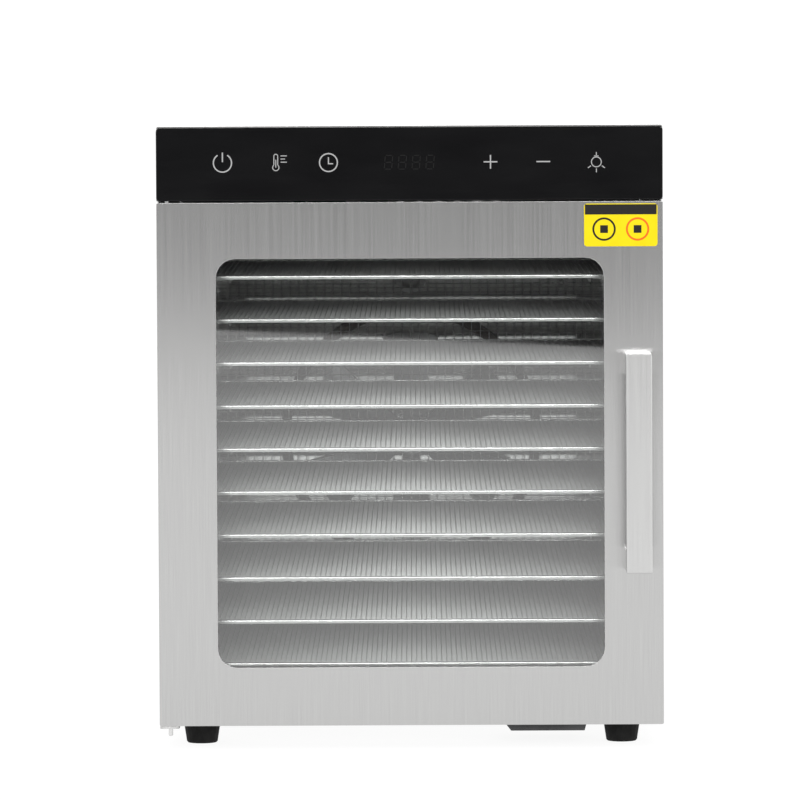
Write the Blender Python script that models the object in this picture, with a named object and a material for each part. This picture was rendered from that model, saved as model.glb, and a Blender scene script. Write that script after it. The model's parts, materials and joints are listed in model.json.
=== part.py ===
"""Food dehydrator: a steel cabinet with ten wire trays, a glazed door and a fan in the back wall.

Units are metres and +Z is up. The door faces -Y and is hinged on its left edge.
The origin is on the floor, under the middle of the object's box.
"""
from math import cos, pi, radians, sin

import bmesh
import bpy
from mathutils import Vector

MM = 0.001

# Overall size
WIDTH = 340 * MM
DEPTH = 450 * MM
HEIGHT = 420 * MM

# Stock and clearances
SHEET = 1.0 * MM                      # steel sheet
GAP = 0.3 * MM                        # clearance between neighbouring pieces
BEND = 1.2 * MM                       # outside radius of a folded corner
CORNER_STEPS = 3                      # facets in a rounded corner
WINDOW_STEPS = 5                      # facets in a corner of the window
ROUND = 16                            # facets around a small turned piece
OVERCUT = 5 * MM                      # how far a cutter runs past what it cuts
NEARLY_HALF = 0.49                    # end radius of a slot, as a share of its width
SMOOTH_ANGLE = radians(35)

# Planes from front to back
HANDLE_FRONT = -DEPTH / 2
DOOR_FRONT = HANDLE_FRONT + 30 * MM
DOOR_BACK = DOOR_FRONT + 19.7 * MM
BODY_FRONT = DOOR_FRONT + 23 * MM
TRAY_FRONT = BODY_FRONT + 7 * MM
TRAY_BACK = TRAY_FRONT + 310 * MM
GUARD_FRONT = TRAY_BACK + 3.5 * MM
BULKHEAD_FRONT = BODY_FRONT + 356.3 * MM
BODY_BACK = DEPTH / 2 - 25 * MM

# Levels from the floor up
BODY_BOTTOM = 16 * MM
FLOOR_TOP = 36.4 * MM
CEILING_UNDER = 351.8 * MM
DOOR_TOP = 368.8 * MM
PANEL_BOTTOM = DOOR_TOP + 1.0 * MM
PANEL_TOP = HEIGHT - SHEET - 0.4 * MM
PANEL_GLASS_DEEP = 3.7 * MM

# Half widths
CASE_HALF = WIDTH / 2
LINING_HALF = CASE_HALF - SHEET - GAP
RACK_INNER = 150.8 * MM
LEDGE_INNER = 122 * MM
TRAY_HALF = 145 * MM
MOUTH_HALF = 149.5 * MM

# Window and glass
WINDOW_HALF = 130.3 * MM
WINDOW_LOW = 55.4 * MM
WINDOW_HIGH = 331.0 * MM
WINDOW_RADIUS = 13 * MM
GLASS_EDGE = 9.7 * MM                 # how far the glass reaches behind the door skin
GLASS_THICK = 4 * MM
CLAMP_EDGE = 3.7 * MM                 # where the inner frame holds the glass

# Hinges
HINGE_X = -CASE_HALF + 7 * MM
HINGE_Y = DOOR_FRONT + 10 * MM
PIN_RADIUS = 1.5 * MM
PIN_HOLE = PIN_RADIUS + GAP

# Handle
HANDLE_X = 152.7 * MM
HANDLE_WIDE = 17.5 * MM
HANDLE_LOW = 120.7 * MM
HANDLE_HIGH = 267.3 * MM
HANDLE_BAR = 8 * MM
HANDLE_LEG = 15 * MM
SCREW_INSET = 7.5 * MM
SCREW_RADIUS = 2.0 * MM

# Door magnet
MAGNET_LEFT = 161.5 * MM
MAGNET_RIGHT = 166.5 * MM
MAGNET_LOW = 180 * MM
MAGNET_HIGH = 210 * MM

# Sticker
STICKER_LOW = (117.1 * MM, 338.4 * MM)
STICKER_HIGH = (166.4 * MM, 367.2 * MM)
STICKER_THICK = 0.2 * MM

# Trays
TRAY_COUNT = 10
TRAY_TOP_LEVEL = 317.2 * MM
TRAY_PITCH = 29.22 * MM
TRAY_RIM_HIGH = 2.4 * MM
TRAY_RIM_WIDE = 5 * MM
TRAY_MESH_UNDER = 0.3 * MM            # the mesh sheet's underside, below the middle of the rim
TRAY_MESH_OVER = 0.1 * MM             # and its top, above it

# Fan, motor and heater, all around one axis along Y
FAN_Z = 188 * MM
FAN_FRONT = 160 * MM
FAN_BACK = 176 * MM
FAN_RADIUS = 76 * MM
HUB_RADIUS = 16 * MM
BLADE_COUNT = 6
SHAFT_RADIUS = 3 * MM
HEATER_RADIUS = 92 * MM
HEATER_Y = 172 * MM
HEATER_TUBE = 3.5 * MM
HEATER_OPEN = radians(24)             # half the angle left open at the bottom
HEATER_BEND = 8 * MM                  # bend that turns each end back through the wall

# Motor behind the back wall
MOTOR_FRONT = 195.3 * MM
MOTOR_BACK = 222 * MM
MOTOR_BORE_END = 218 * MM
MOTOR_CAP = 19 * MM                   # radius of a bearing cap
STACK_HALF = (30 * MM, 24 * MM)
COVER_HALF = 62 * MM
COVER_FLANGE = 9 * MM

# Sensors and lamp
PROBE_AT = (110 * MM, 300 * MM)
CUTOUT_AT = (0.0, 304 * MM)
LAMP_AT = (100 * MM, -60 * MM)

# Power inlet in the rear panel
INLET_AT = (-115 * MM, 56 * MM)
INLET_HALF = (13.7 * MM, 9.7 * MM)

# Vent scoop under the bottom panel
VENT_LEFT = 61.5 * MM
VENT_RIGHT = 119.5 * MM
VENT_FRONT = DOOR_FRONT + 35 * MM
VENT_BACK = VENT_FRONT + 50 * MM
VENT_SLOT = 4 * MM                    # width of every vent slot

# Feet
FOOT_X = 143 * MM
FOOT_FRONT_Y = DOOR_FRONT + 47 * MM
FOOT_BACK_Y = 165 * MM

# Finishes: colour, roughness, metallic
STEEL = ((0.62, 0.62, 0.63), 0.34, 1.0)
DARK_STEEL = ((0.30, 0.30, 0.31), 0.45, 1.0)
BRIGHT_STEEL = ((0.74, 0.74, 0.75), 0.22, 1.0)
ALUMINIUM = ((0.70, 0.71, 0.72), 0.35, 1.0)
BRASS = ((0.72, 0.55, 0.28), 0.35, 1.0)
BLACK_GLASS = ((0.012, 0.012, 0.013), 0.06, 0.0)
CLEAR_GLASS = ((0.80, 0.83, 0.83), 0.03, 0.0)
BLACK_PLASTIC = ((0.02, 0.02, 0.02), 0.5, 0.0)
BLACK_RUBBER = ((0.015, 0.015, 0.015), 0.8, 0.0)
GREY_SILICONE = ((0.35, 0.35, 0.35), 0.7, 0.0)
GREEN_BOARD = ((0.03, 0.16, 0.07), 0.5, 0.0)
CERAMIC = ((0.78, 0.76, 0.70), 0.5, 0.0)
YELLOW = ((0.92, 0.70, 0.02), 0.45, 0.0)


def clear_scene():
    """Start from an empty scene."""
    for old in list(bpy.data.objects):
        bpy.data.objects.remove(old, do_unlink=True)


def give_finish(obj, finish):
    """Give a sub-part its own material."""
    colour, roughness, metallic = finish
    material = bpy.data.materials.new(obj.name)
    material.use_nodes = True
    shader = material.node_tree.nodes["Principled BSDF"]
    shader.inputs["Base Color"].default_value = (*colour, 1.0)
    shader.inputs["Roughness"].default_value = roughness
    shader.inputs["Metallic"].default_value = metallic
    obj.data.materials.append(material)


def add_object(name, mesh, finish=None):
    """Link a mesh as a sub-part, or as a hidden tool when it has no finish."""
    obj = bpy.data.objects.new(name, mesh)
    bpy.context.scene.collection.objects.link(obj)
    if finish is None:
        obj.hide_render = True
        obj.display_type = "WIRE"
    else:
        give_finish(obj, finish)
        mesh.shade_smooth()
        mesh.set_sharp_from_angle(angle=SMOOTH_ANGLE)
    return obj


def mesh_from(name, points, faces):
    """Build a mesh whose faces all point outwards."""
    mesh = bpy.data.meshes.new(name)
    shape = bmesh.new()
    corners = [shape.verts.new(point) for point in points]
    for face in faces:
        shape.faces.new([corners[index] for index in face])
    bmesh.ops.recalc_face_normals(shape, faces=shape.faces)
    shape.to_mesh(mesh)
    shape.free()
    return mesh


def rounded(low, high, radius, steps=CORNER_STEPS):
    """Outline of a rectangle with rounded corners, as 2-D points."""
    centres = (
        (high[0] - radius, high[1] - radius, 0),
        (low[0] + radius, high[1] - radius, 1),
        (low[0] + radius, low[1] + radius, 2),
        (high[0] - radius, low[1] + radius, 3),
    )
    outline = []
    for across, up, quarter in centres:
        for step in range(steps + 1):
            angle = (quarter + step / steps) * pi / 2
            outline.append((across + radius * cos(angle), up + radius * sin(angle)))
    return outline


def circle(radius, centre=(0.0, 0.0), steps=ROUND):
    """Outline of a circle, as 2-D points."""
    turns = [2 * pi * step / steps for step in range(steps)]
    return [(centre[0] + radius * cos(turn), centre[1] + radius * sin(turn)) for turn in turns]


def place(outline, axis, level):
    """Stand a 2-D outline across an axis: X takes (y, z), Y takes (x, z) and Z takes (x, y)."""
    if axis == "X":
        return [(level, a, b) for a, b in outline]
    if axis == "Y":
        return [(a, level, b) for a, b in outline]
    return [(a, b, level) for a, b in outline]


def loft_mesh(name, loops, ring=False):
    """Skin a row of outlines: capped at both ends, or joined end to start as a ring."""
    count = len(loops[0])
    points = [point for loop in loops for point in loop]
    faces = []
    spans = len(loops) if ring else len(loops) - 1
    for span in range(spans):
        here = span * count
        there = (span + 1) % len(loops) * count
        for index in range(count):
            after = (index + 1) % count
            faces.append((here + index, here + after, there + after, there + index))
    if not ring:
        faces.append(tuple(range(count)))
        faces.append(tuple(range(len(points) - count, len(points))))
    return mesh_from(name, points, faces)


def loft(name, loops, finish=None, ring=False):
    """A sub-part, or a tool, skinned over a row of outlines."""
    return add_object(name, loft_mesh(name, loops, ring), finish)


def prism(name, outline, axis, start, end, finish=None):
    """A straight extrusion of one outline along an axis."""
    return loft(name, [place(outline, axis, start), place(outline, axis, end)], finish)


def box(name, low, high, finish=None):
    """A plain block between two corners."""
    outline = [(low[0], low[1]), (high[0], low[1]), (high[0], high[1]), (low[0], high[1])]
    return prism(name, outline, "Z", low[2], high[2], finish)


def rod(name, radius, axis, centre, start, end, finish=None, steps=ROUND):
    """A plain round bar along an axis."""
    return prism(name, circle(radius, centre, steps), axis, start, end, finish)


def turned(name, profile, axis, centre, finish=None, ring=False, steps=ROUND):
    """A turned piece from (radius, level) pairs."""
    loops = [place(circle(radius, centre, steps), axis, level) for radius, level in profile]
    return loft(name, loops, finish, ring)


def combine(obj, tool, operation="DIFFERENCE"):
    """Cut a tool out of a sub-part, or join it on."""
    modifier = obj.modifiers.new(tool.name, "BOOLEAN")
    modifier.operation = operation
    modifier.solver = "EXACT"
    modifier.object = tool
    return obj


def bevel(obj, width, segments=2):
    """Ease the sharp edges of a sub-part."""
    modifier = obj.modifiers.new("eased_edges", "BEVEL")
    modifier.width = width
    modifier.segments = segments
    modifier.limit_method = "ANGLE"
    modifier.angle_limit = SMOOTH_ANGLE
    return obj


def tray_level(number):
    """Middle of a tray's rim, counted from 0 at the top."""
    return TRAY_TOP_LEVEL - number * TRAY_PITCH


def make_outer_case():
    """Top and sides folded from one sheet, with a hood around the control panel."""
    inner = CASE_HALF - SHEET
    roof = HEIGHT - SHEET
    outer_bend = 2 * SHEET
    outline = [(-CASE_HALF, BODY_BOTTOM)]
    for quarter in (1, 0):
        side = -1 if quarter else 1
        for step in range(CORNER_STEPS + 1):
            turn = (quarter + 1 - step / CORNER_STEPS) * pi / 2
            outline.append((
                side * (CASE_HALF - outer_bend) + outer_bend * cos(turn),
                HEIGHT - outer_bend + outer_bend * sin(turn),
            ))
    outline += [
        (CASE_HALF, BODY_BOTTOM), (inner, BODY_BOTTOM), (inner, roof), (-inner, roof),
        (-inner, BODY_BOTTOM),
    ]
    case = prism("outer_case", outline, "Y", DOOR_FRONT, BODY_BACK, STEEL)
    wide = CASE_HALF + OVERCUT
    ahead = DOOR_FRONT - OVERCUT
    doorway = box("case_doorway_tool", (-wide, ahead, 0.0), (wide, BODY_FRONT, PANEL_BOTTOM))
    combine(case, doorway)
    lip_under = PANEL_TOP + GAP
    rebate = box(
        "case_rebate_tool", (-wide, ahead, PANEL_BOTTOM - OVERCUT),
        (wide, DOOR_FRONT + PANEL_GLASS_DEEP + GAP, lip_under))
    combine(case, rebate)


def make_control_glass():
    """Flat black glass across the front of the control panel."""
    arris = 0.5 * MM
    radius = 2 * MM
    face = rounded(
        (-CASE_HALF + arris, PANEL_BOTTOM + arris), (CASE_HALF - arris, PANEL_TOP - arris),
        radius - arris)
    full = rounded((-CASE_HALF, PANEL_BOTTOM), (CASE_HALF, PANEL_TOP), radius)
    back = DOOR_FRONT + PANEL_GLASS_DEEP
    loops = [
        place(face, "Y", DOOR_FRONT), place(full, "Y", DOOR_FRONT + arris), place(full, "Y", back),
    ]
    loft("control_glass", loops, BLACK_GLASS)


def make_panel_housing():
    """Plastic box behind the control glass, open at its front."""
    wall = 2 * MM
    front = DOOR_FRONT + PANEL_GLASS_DEEP + GAP
    back = DOOR_FRONT + 45 * MM
    low = (-LINING_HALF, PANEL_BOTTOM)
    high = (LINING_HALF, PANEL_TOP)
    outer = rounded(low, high, wall)
    inner = rounded((low[0] + wall, low[1] + wall), (high[0] - wall, high[1] - wall), wall / 2)
    loops = [
        place(outer, "Y", back), place(outer, "Y", front), place(inner, "Y", front),
        place(inner, "Y", back - wall),
    ]
    housing = loft("panel_housing", loops, BLACK_PLASTIC)
    hole = rod(
        "housing_pin_tool", PIN_HOLE, "Z", (HINGE_X, HINGE_Y),
        PANEL_BOTTOM - OVERCUT, PANEL_BOTTOM + OVERCUT)
    combine(housing, hole)


def make_controls():
    """Touch board and four-digit display behind the glass."""
    board_front = DOOR_FRONT + 10.6 * MM
    board_back = board_front + 1.6 * MM
    board = rounded((-158 * MM, 374.2 * MM), (158 * MM, 414.5 * MM), 3 * MM)
    prism("touch_board", board, "Y", board_front, board_back, GREEN_BOARD)
    display = rounded((-21 * MM, 387.5 * MM), (21 * MM, 403 * MM), 1 * MM)
    display_front = DOOR_FRONT + PANEL_GLASS_DEEP + GAP
    prism("display_module", display, "Y", display_front, board_front - GAP, BLACK_PLASTIC)


def make_power_board():
    """Mains board on four posts above the chamber."""
    low = (-95 * MM, -90 * MM)
    high = (15 * MM, 0.0)
    under = 360 * MM
    top = under + 1.6 * MM
    board = prism("power_board", rounded(low, high, 2 * MM), "Z", under, top, GREEN_BOARD)
    inset = 6 * MM
    sunk = 0.4 * MM
    roof = CEILING_UNDER + SHEET
    for across in (low[0] + inset, high[0] - inset):
        for along in (low[1] + inset, high[1] - inset):
            foot = roof + GAP
            post = rod("board_post_tool", 3 * MM, "Z", (across, along), foot, top - sunk, steps=8)
            combine(board, post, "UNION")
    blocks = (
        ((-80 * MM, -76 * MM), (-44 * MM, -44 * MM), 28 * MM),
        ((-34 * MM, -74 * MM), (-15 * MM, -58 * MM), 16 * MM),
        ((-34 * MM, -46 * MM), (-15 * MM, -30 * MM), 16 * MM),
        ((-78 * MM, -30 * MM), (-52 * MM, -14 * MM), 12 * MM),
    )
    for corner, opposite, tall in blocks:
        block = box("board_block_tool", (*corner, top - sunk), (*opposite, top + tall))
        combine(board, block, "UNION")


def l_section_ring(name, flange_half, flange_low, flange_high, mouth, face, flange_back, return_end, finish):
    """A folded frame: a flat flange, and a return that runs along Y from its inner edge."""
    half, low, high, radius = mouth
    outer = rounded((-flange_half, flange_low), (flange_half, flange_high), BEND, WINDOW_STEPS)
    wide = rounded((-half - SHEET, low - SHEET), (half + SHEET, high + SHEET), radius + SHEET, WINDOW_STEPS)
    clear = rounded((-half, low), (half, high), radius, WINDOW_STEPS)
    loops = [
        place(outer, "Y", face),
        place(outer, "Y", flange_back),
        place(wide, "Y", flange_back),
        place(wide, "Y", return_end),
        place(clear, "Y", return_end),
        place(clear, "Y", face),
    ]
    return loft(name, loops, finish, ring=True)


def make_front_frame():
    """Flat frame around the chamber's mouth, with a slot for the door magnet."""
    mouth = (MOUTH_HALF, FLOOR_TOP + 1.3 * MM, CEILING_UNDER - 1.3 * MM, 4 * MM)
    frame = l_section_ring(
        "front_frame", LINING_HALF, BODY_BOTTOM + SHEET + GAP, DOOR_TOP - GAP, mouth,
        BODY_FRONT, BODY_FRONT + SHEET, BODY_FRONT + 12 * MM, STEEL)
    slot = box(
        "magnet_slot_tool", (MAGNET_LEFT - GAP, BODY_FRONT - OVERCUT, MAGNET_LOW - GAP),
        (MAGNET_RIGHT + GAP, BODY_FRONT + OVERCUT, MAGNET_HIGH + GAP))
    combine(frame, slot)


def make_catch():
    """Magnet in the body and the plate it holds on the door."""
    magnet_front = DOOR_BACK + 1.8 * MM
    magnet = rounded((MAGNET_LEFT, MAGNET_LOW), (MAGNET_RIGHT, MAGNET_HIGH), 1 * MM)
    prism("catch_magnet", magnet, "Y", magnet_front, magnet_front + 13 * MM, DARK_STEEL)
    strike_front = DOOR_BACK + GAP
    prism("strike_plate", magnet, "Y", strike_front, strike_front + 1.2 * MM, BRIGHT_STEEL)


def make_chamber():
    """Floor and ceiling sheets of the drying chamber."""
    half = RACK_INNER - 0.4 * MM
    front = BODY_FRONT + 1.5 * MM
    back = BULKHEAD_FRONT - GAP
    sheet = rounded((-half, front), (half, back), 1 * MM)
    prism("chamber_floor", sheet, "Z", FLOOR_TOP - SHEET, FLOOR_TOP, STEEL)
    ceiling = prism("chamber_ceiling", sheet, "Z", CEILING_UNDER, CEILING_UNDER + SHEET, STEEL)
    hole = rod(
        "lamp_hole_tool", 9 * MM, "Z", LAMP_AT, CEILING_UNDER - OVERCUT, CEILING_UNDER + OVERCUT)
    combine(ceiling, hole)


def make_lamp():
    """Chamber lamp: a bulb in a ceramic holder, behind a glass lens."""
    edge = CEILING_UNDER - GAP
    lens = (
        (12 * MM, edge - 9.5 * MM), (15 * MM, edge - 8 * MM), (16.5 * MM, edge - 1.5 * MM),
        (16.5 * MM, edge), (20 * MM, edge), (20 * MM, edge - 2.5 * MM), (18 * MM, edge - 3.5 * MM),
        (16.5 * MM, edge - 9 * MM), (12.5 * MM, edge - 11 * MM),
    )
    turned("lamp_lens", lens, "Z", LAMP_AT, CLEAR_GLASS)
    bulb = (
        (3 * MM, edge - 7.5 * MM), (6.4 * MM, edge - 5 * MM), (7 * MM, edge), (7 * MM, edge + 5 * MM),
        (5 * MM, edge + 7 * MM), (5 * MM, edge + 12 * MM),
    )
    turned("lamp_bulb", bulb, "Z", LAMP_AT, CLEAR_GLASS)
    seat = CEILING_UNDER + SHEET + GAP
    holder = (
        (7.5 * MM, seat + 12 * MM), (7.5 * MM, seat), (14 * MM, seat), (14 * MM, seat + 3 * MM),
        (11 * MM, seat + 4 * MM), (11 * MM, seat + 15 * MM),
    )
    turned("lamp_holder", holder, "Z", LAMP_AT, CERAMIC)


def make_tray_rack(name, side):
    """Side wall of the chamber with a folded ledge under each tray."""
    outer = RACK_INNER + SHEET
    lip = 3 * MM
    outline = [(side * outer, FLOOR_TOP - SHEET), (side * outer, CEILING_UNDER + SHEET)]
    outline.append((side * RACK_INNER, CEILING_UNDER + SHEET))
    for number in range(TRAY_COUNT):
        top = tray_level(number) - TRAY_RIM_HIGH / 2 - GAP
        outline += [
            (side * RACK_INNER, top),
            (side * LEDGE_INNER, top),
            (side * LEDGE_INNER, top - lip),
            (side * (LEDGE_INNER + SHEET), top - lip),
            (side * (LEDGE_INNER + SHEET), top - SHEET),
            (side * RACK_INNER, top - SHEET),
        ]
    outline.append((side * RACK_INNER, FLOOR_TOP - SHEET))
    front = BODY_FRONT + 1.5 * MM
    rack = prism(name, outline, "Y", front, BULKHEAD_FRONT - GAP, STEEL)
    chamfer = 7 * MM
    ledge_front = TRAY_FRONT + 17 * MM
    ledge_back = TRAY_BACK + 1 * MM
    shave = RACK_INNER + 0.05 * MM
    tip = LEDGE_INNER - OVERCUT
    low = BODY_BOTTOM
    high = HEIGHT - OVERCUT
    front_corner = [
        (side * shave, front - OVERCUT), (side * tip, front - OVERCUT),
        (side * tip, ledge_front + chamfer + OVERCUT), (side * (LEDGE_INNER + chamfer), ledge_front),
        (side * shave, ledge_front),
    ]
    combine(rack, prism(name + "_front_tool", front_corner, "Z", low, high))
    back_low = (min(side * shave, side * tip), ledge_back, low)
    back_high = (max(side * shave, side * tip), BODY_BACK, high)
    combine(rack, box(name + "_back_tool", back_low, back_high))


def make_tray(number):
    """One tray: a folded rim with a mesh sheet across it."""
    level = tray_level(number)
    inner_half = TRAY_HALF - TRAY_RIM_WIDE
    outer = rounded((-TRAY_HALF, TRAY_FRONT), (TRAY_HALF, TRAY_BACK), 6 * MM)
    inner = rounded(
        (-inner_half, TRAY_FRONT + TRAY_RIM_WIDE), (inner_half, TRAY_BACK - TRAY_RIM_WIDE), 3 * MM)
    top = level + TRAY_RIM_HIGH / 2
    bottom = level - TRAY_RIM_HIGH / 2
    loops = [
        place(inner, "Z", level - TRAY_MESH_UNDER), place(inner, "Z", bottom), place(outer, "Z", bottom),
        place(outer, "Z", top), place(inner, "Z", top), place(inner, "Z", level + TRAY_MESH_OVER),
    ]
    loft(f"tray_{number + 1:02d}", loops, BRIGHT_STEEL)


def make_fan_guard():
    """Flat grid that keeps the trays and fingers off the fan."""
    half = RACK_INNER - 0.4 * MM
    low = FLOOR_TOP + GAP
    high = CEILING_UNDER - GAP
    bar = 3 * MM
    holes = 7
    back = GUARD_FRONT + 1.5 * MM

    def stations(start, end):
        pitch = (end - start - bar) / holes
        return [start + pitch * (index // 2) + bar * (index % 2) for index in range(2 * holes + 2)]

    across = stations(-half, half)
    up = stations(low, high)
    count = len(across)
    points = [(x, y, z) for y in (GUARD_FRONT, back) for z in up for x in across]

    def corner(layer, row, column):
        return layer * count * count + row * count + column

    def is_solid(row, column):
        inside = 0 <= row < count - 1 and 0 <= column < count - 1
        return inside and not (row % 2 and column % 2)

    faces = []
    for row in range(count - 1):
        for column in range(count - 1):
            if not is_solid(row, column):
                continue
            cell = [(row, column), (row, column + 1), (row + 1, column + 1), (row + 1, column)]
            beside = [(row - 1, column), (row, column + 1), (row + 1, column), (row, column - 1)]
            for layer in (0, 1):
                faces.append([corner(layer, *at) for at in cell])
            for edge, neighbour in enumerate(beside):
                if not is_solid(*neighbour):
                    first = cell[edge]
                    second = cell[(edge + 1) % 4]
                    front_side = [corner(0, *first), corner(0, *second)]
                    faces.append(front_side + [corner(1, *second), corner(1, *first)])
    add_object("fan_guard", mesh_from("fan_guard", points, faces), BRIGHT_STEEL)


def make_rear_bulkhead():
    """Back wall of the chamber, pierced for the shaft, the heater ends and the probe."""
    half = RACK_INNER + SHEET
    wall = rounded((-half, FLOOR_TOP - SHEET), (half, CEILING_UNDER + SHEET), 1 * MM)
    back = BULKHEAD_FRONT + SHEET
    bulkhead = prism("rear_bulkhead", wall, "Y", BULKHEAD_FRONT, back, STEEL)
    end_x = HEATER_RADIUS * sin(HEATER_OPEN) - HEATER_BEND * cos(HEATER_OPEN)
    end_z = FAN_Z - HEATER_RADIUS * cos(HEATER_OPEN) - HEATER_BEND * sin(HEATER_OPEN)
    holes = (
        (6 * MM, (0.0, FAN_Z)),
        (HEATER_TUBE + 1 * MM, (-end_x, end_z)),
        (HEATER_TUBE + 1 * MM, (end_x, end_z)),
        (2.6 * MM, PROBE_AT),
    )
    for radius, centre in holes:
        hole = rod("bulkhead_hole_tool", radius, "Y", centre, BULKHEAD_FRONT - OVERCUT, back + OVERCUT)
        combine(bulkhead, hole)


def make_sensors():
    """Temperature probe and overheat cut-out in the back wall."""
    wall = BULKHEAD_FRONT - GAP
    behind = BULKHEAD_FRONT + SHEET + 6 * MM
    probe = (
        (1.2 * MM, wall - 26 * MM), (2 * MM, wall - 25 * MM), (2 * MM, wall - 3 * MM),
        (5 * MM, wall - 3 * MM), (5 * MM, wall), (2.2 * MM, wall), (2.2 * MM, behind),
    )
    turned("temperature_probe", probe, "Y", PROBE_AT, BRIGHT_STEEL)
    cutout = (
        (6 * MM, wall - 9 * MM), (6 * MM, wall - 7 * MM), (8 * MM, wall - 6 * MM),
        (8 * MM, wall - 1.5 * MM), (12 * MM, wall - 1.5 * MM), (12 * MM, wall),
    )
    turned("thermal_cutout", cutout, "Y", CUTOUT_AT, ALUMINIUM)


def blade_mesh(turn):
    """One curved, pitched blade that runs out from inside the hub."""
    steps_out = 4
    steps_chord = 4
    root = HUB_RADIUS - 4 * MM
    middle = (FAN_FRONT + FAN_BACK) / 2
    half_thick = 0.6 * MM
    points = []
    for side in (-1, 1):
        for out in range(steps_out + 1):
            share = out / steps_out
            radius = root + (FAN_RADIUS - root) * share
            half_chord = 6 * MM + 17 * MM * share
            pitch = radians(38 - 14 * share)
            for step in range(steps_chord + 1):
                chord = 2 * step / steps_chord - 1
                along = half_chord * chord
                camber = 2.5 * MM * share * (1 - chord * chord)
                sweep = turn + along * cos(pitch) / radius
                lift = along * sin(pitch) * 0.75 + camber + side * half_thick
                points.append((radius * sin(sweep), middle + lift, FAN_Z + radius * cos(sweep)))
    row = steps_chord + 1
    layer = row * (steps_out + 1)
    faces = []
    for out in range(steps_out):
        for step in range(steps_chord):
            first = out * row + step
            quad = (first, first + 1, first + row + 1, first + row)
            faces.append(quad)
            faces.append(tuple(layer + index for index in quad))
    rim = list(range(row))
    rim += [out * row + steps_chord for out in range(1, steps_out + 1)]
    rim += [steps_out * row + step for step in reversed(range(steps_chord))]
    rim += [out * row for out in reversed(range(1, steps_out))]
    for index, first in enumerate(rim):
        second = rim[(index + 1) % len(rim)]
        faces.append((first, second, layer + second, layer + first))
    return mesh_from("fan_blade_tool", points, faces)


def make_fan():
    """Axial impeller, its nut and the motor shaft, which turn together."""
    bore = SHAFT_RADIUS + GAP
    hub = (
        (bore, FAN_FRONT), (HUB_RADIUS - 3 * MM, FAN_FRONT), (HUB_RADIUS, FAN_FRONT + 3 * MM),
        (HUB_RADIUS, FAN_BACK), (bore, FAN_BACK),
    )
    impeller = turned("fan_impeller", hub, "Y", (0.0, FAN_Z), ALUMINIUM, ring=True)
    for blade in range(BLADE_COUNT):
        tool = add_object("fan_blade_tool", blade_mesh(2 * pi * blade / BLADE_COUNT))
        combine(impeller, tool, "UNION")
    nut_back = FAN_FRONT - GAP
    nut_front = nut_back - 5 * MM
    nut = prism("fan_nut", circle(5.8 * MM, (0.0, FAN_Z), 6), "Y", nut_front, nut_back, BRASS)
    combine(nut, rod("nut_bore_tool", bore, "Y", (0.0, FAN_Z), nut_front - OVERCUT, nut_back + OVERCUT))
    shaft_front = nut_front - 1.5 * MM
    shaft_back = MOTOR_BORE_END - 1 * MM
    rod("motor_shaft", SHAFT_RADIUS, "Y", (0.0, FAN_Z), shaft_front, shaft_back, BRIGHT_STEEL)


def make_motor_bracket():
    """Folded bridge that carries the motor on the back of the chamber wall."""
    foot = BULKHEAD_FRONT + SHEET + GAP
    top = MOTOR_FRONT - GAP
    outer = 52 * MM
    riser = 38 * MM
    thick = 1.5 * MM
    half = [
        (riser - thick, top - thick), (riser - thick, foot), (outer, foot), (outer, foot + thick),
        (riser, foot + thick), (riser, top),
    ]
    outline = [(-x, y) for x, y in reversed(half)] + half
    tall = 12 * MM
    bracket = prism("motor_bracket", outline, "Z", FAN_Z - tall, FAN_Z + tall, DARK_STEEL)
    hole = rod("bracket_hole_tool", 6 * MM, "Y", (0.0, FAN_Z), foot - OVERCUT, top + OVERCUT)
    combine(bracket, hole)


def make_fan_motor():
    """Shaded-pole motor: a laminated stack, two bearing caps and a coil, with a bore for the shaft."""
    centre = (0.0, FAN_Z)
    ease = 3 * MM
    narrow = MOTOR_CAP - 5 * MM
    caps = (
        (narrow, MOTOR_FRONT), (MOTOR_CAP, MOTOR_FRONT + ease), (MOTOR_CAP, MOTOR_BACK - ease),
        (narrow, MOTOR_BACK),
    )
    motor = turned("fan_motor", caps, "Y", centre, DARK_STEEL)
    wide, tall = STACK_HALF
    stack = rounded((-wide, FAN_Z - tall), (wide, FAN_Z + tall), ease)
    stack_front = MOTOR_FRONT + 7 * MM
    stack_back = stack_front + 12 * MM
    combine(motor, prism("motor_stack_tool", stack, "Y", stack_front, stack_back), "UNION")
    coil = rounded((-16 * MM, FAN_Z - 34 * MM), (16 * MM, FAN_Z - 20 * MM), ease)
    coil_front = MOTOR_FRONT + 2 * MM
    coil_back = MOTOR_BACK - 2 * MM
    combine(motor, prism("motor_coil_tool", coil, "Y", coil_front, coil_back), "UNION")
    bore = rod("motor_bore_tool", SHAFT_RADIUS + GAP, "Y", centre, MOTOR_FRONT - OVERCUT, MOTOR_BORE_END)
    combine(motor, bore)


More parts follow.
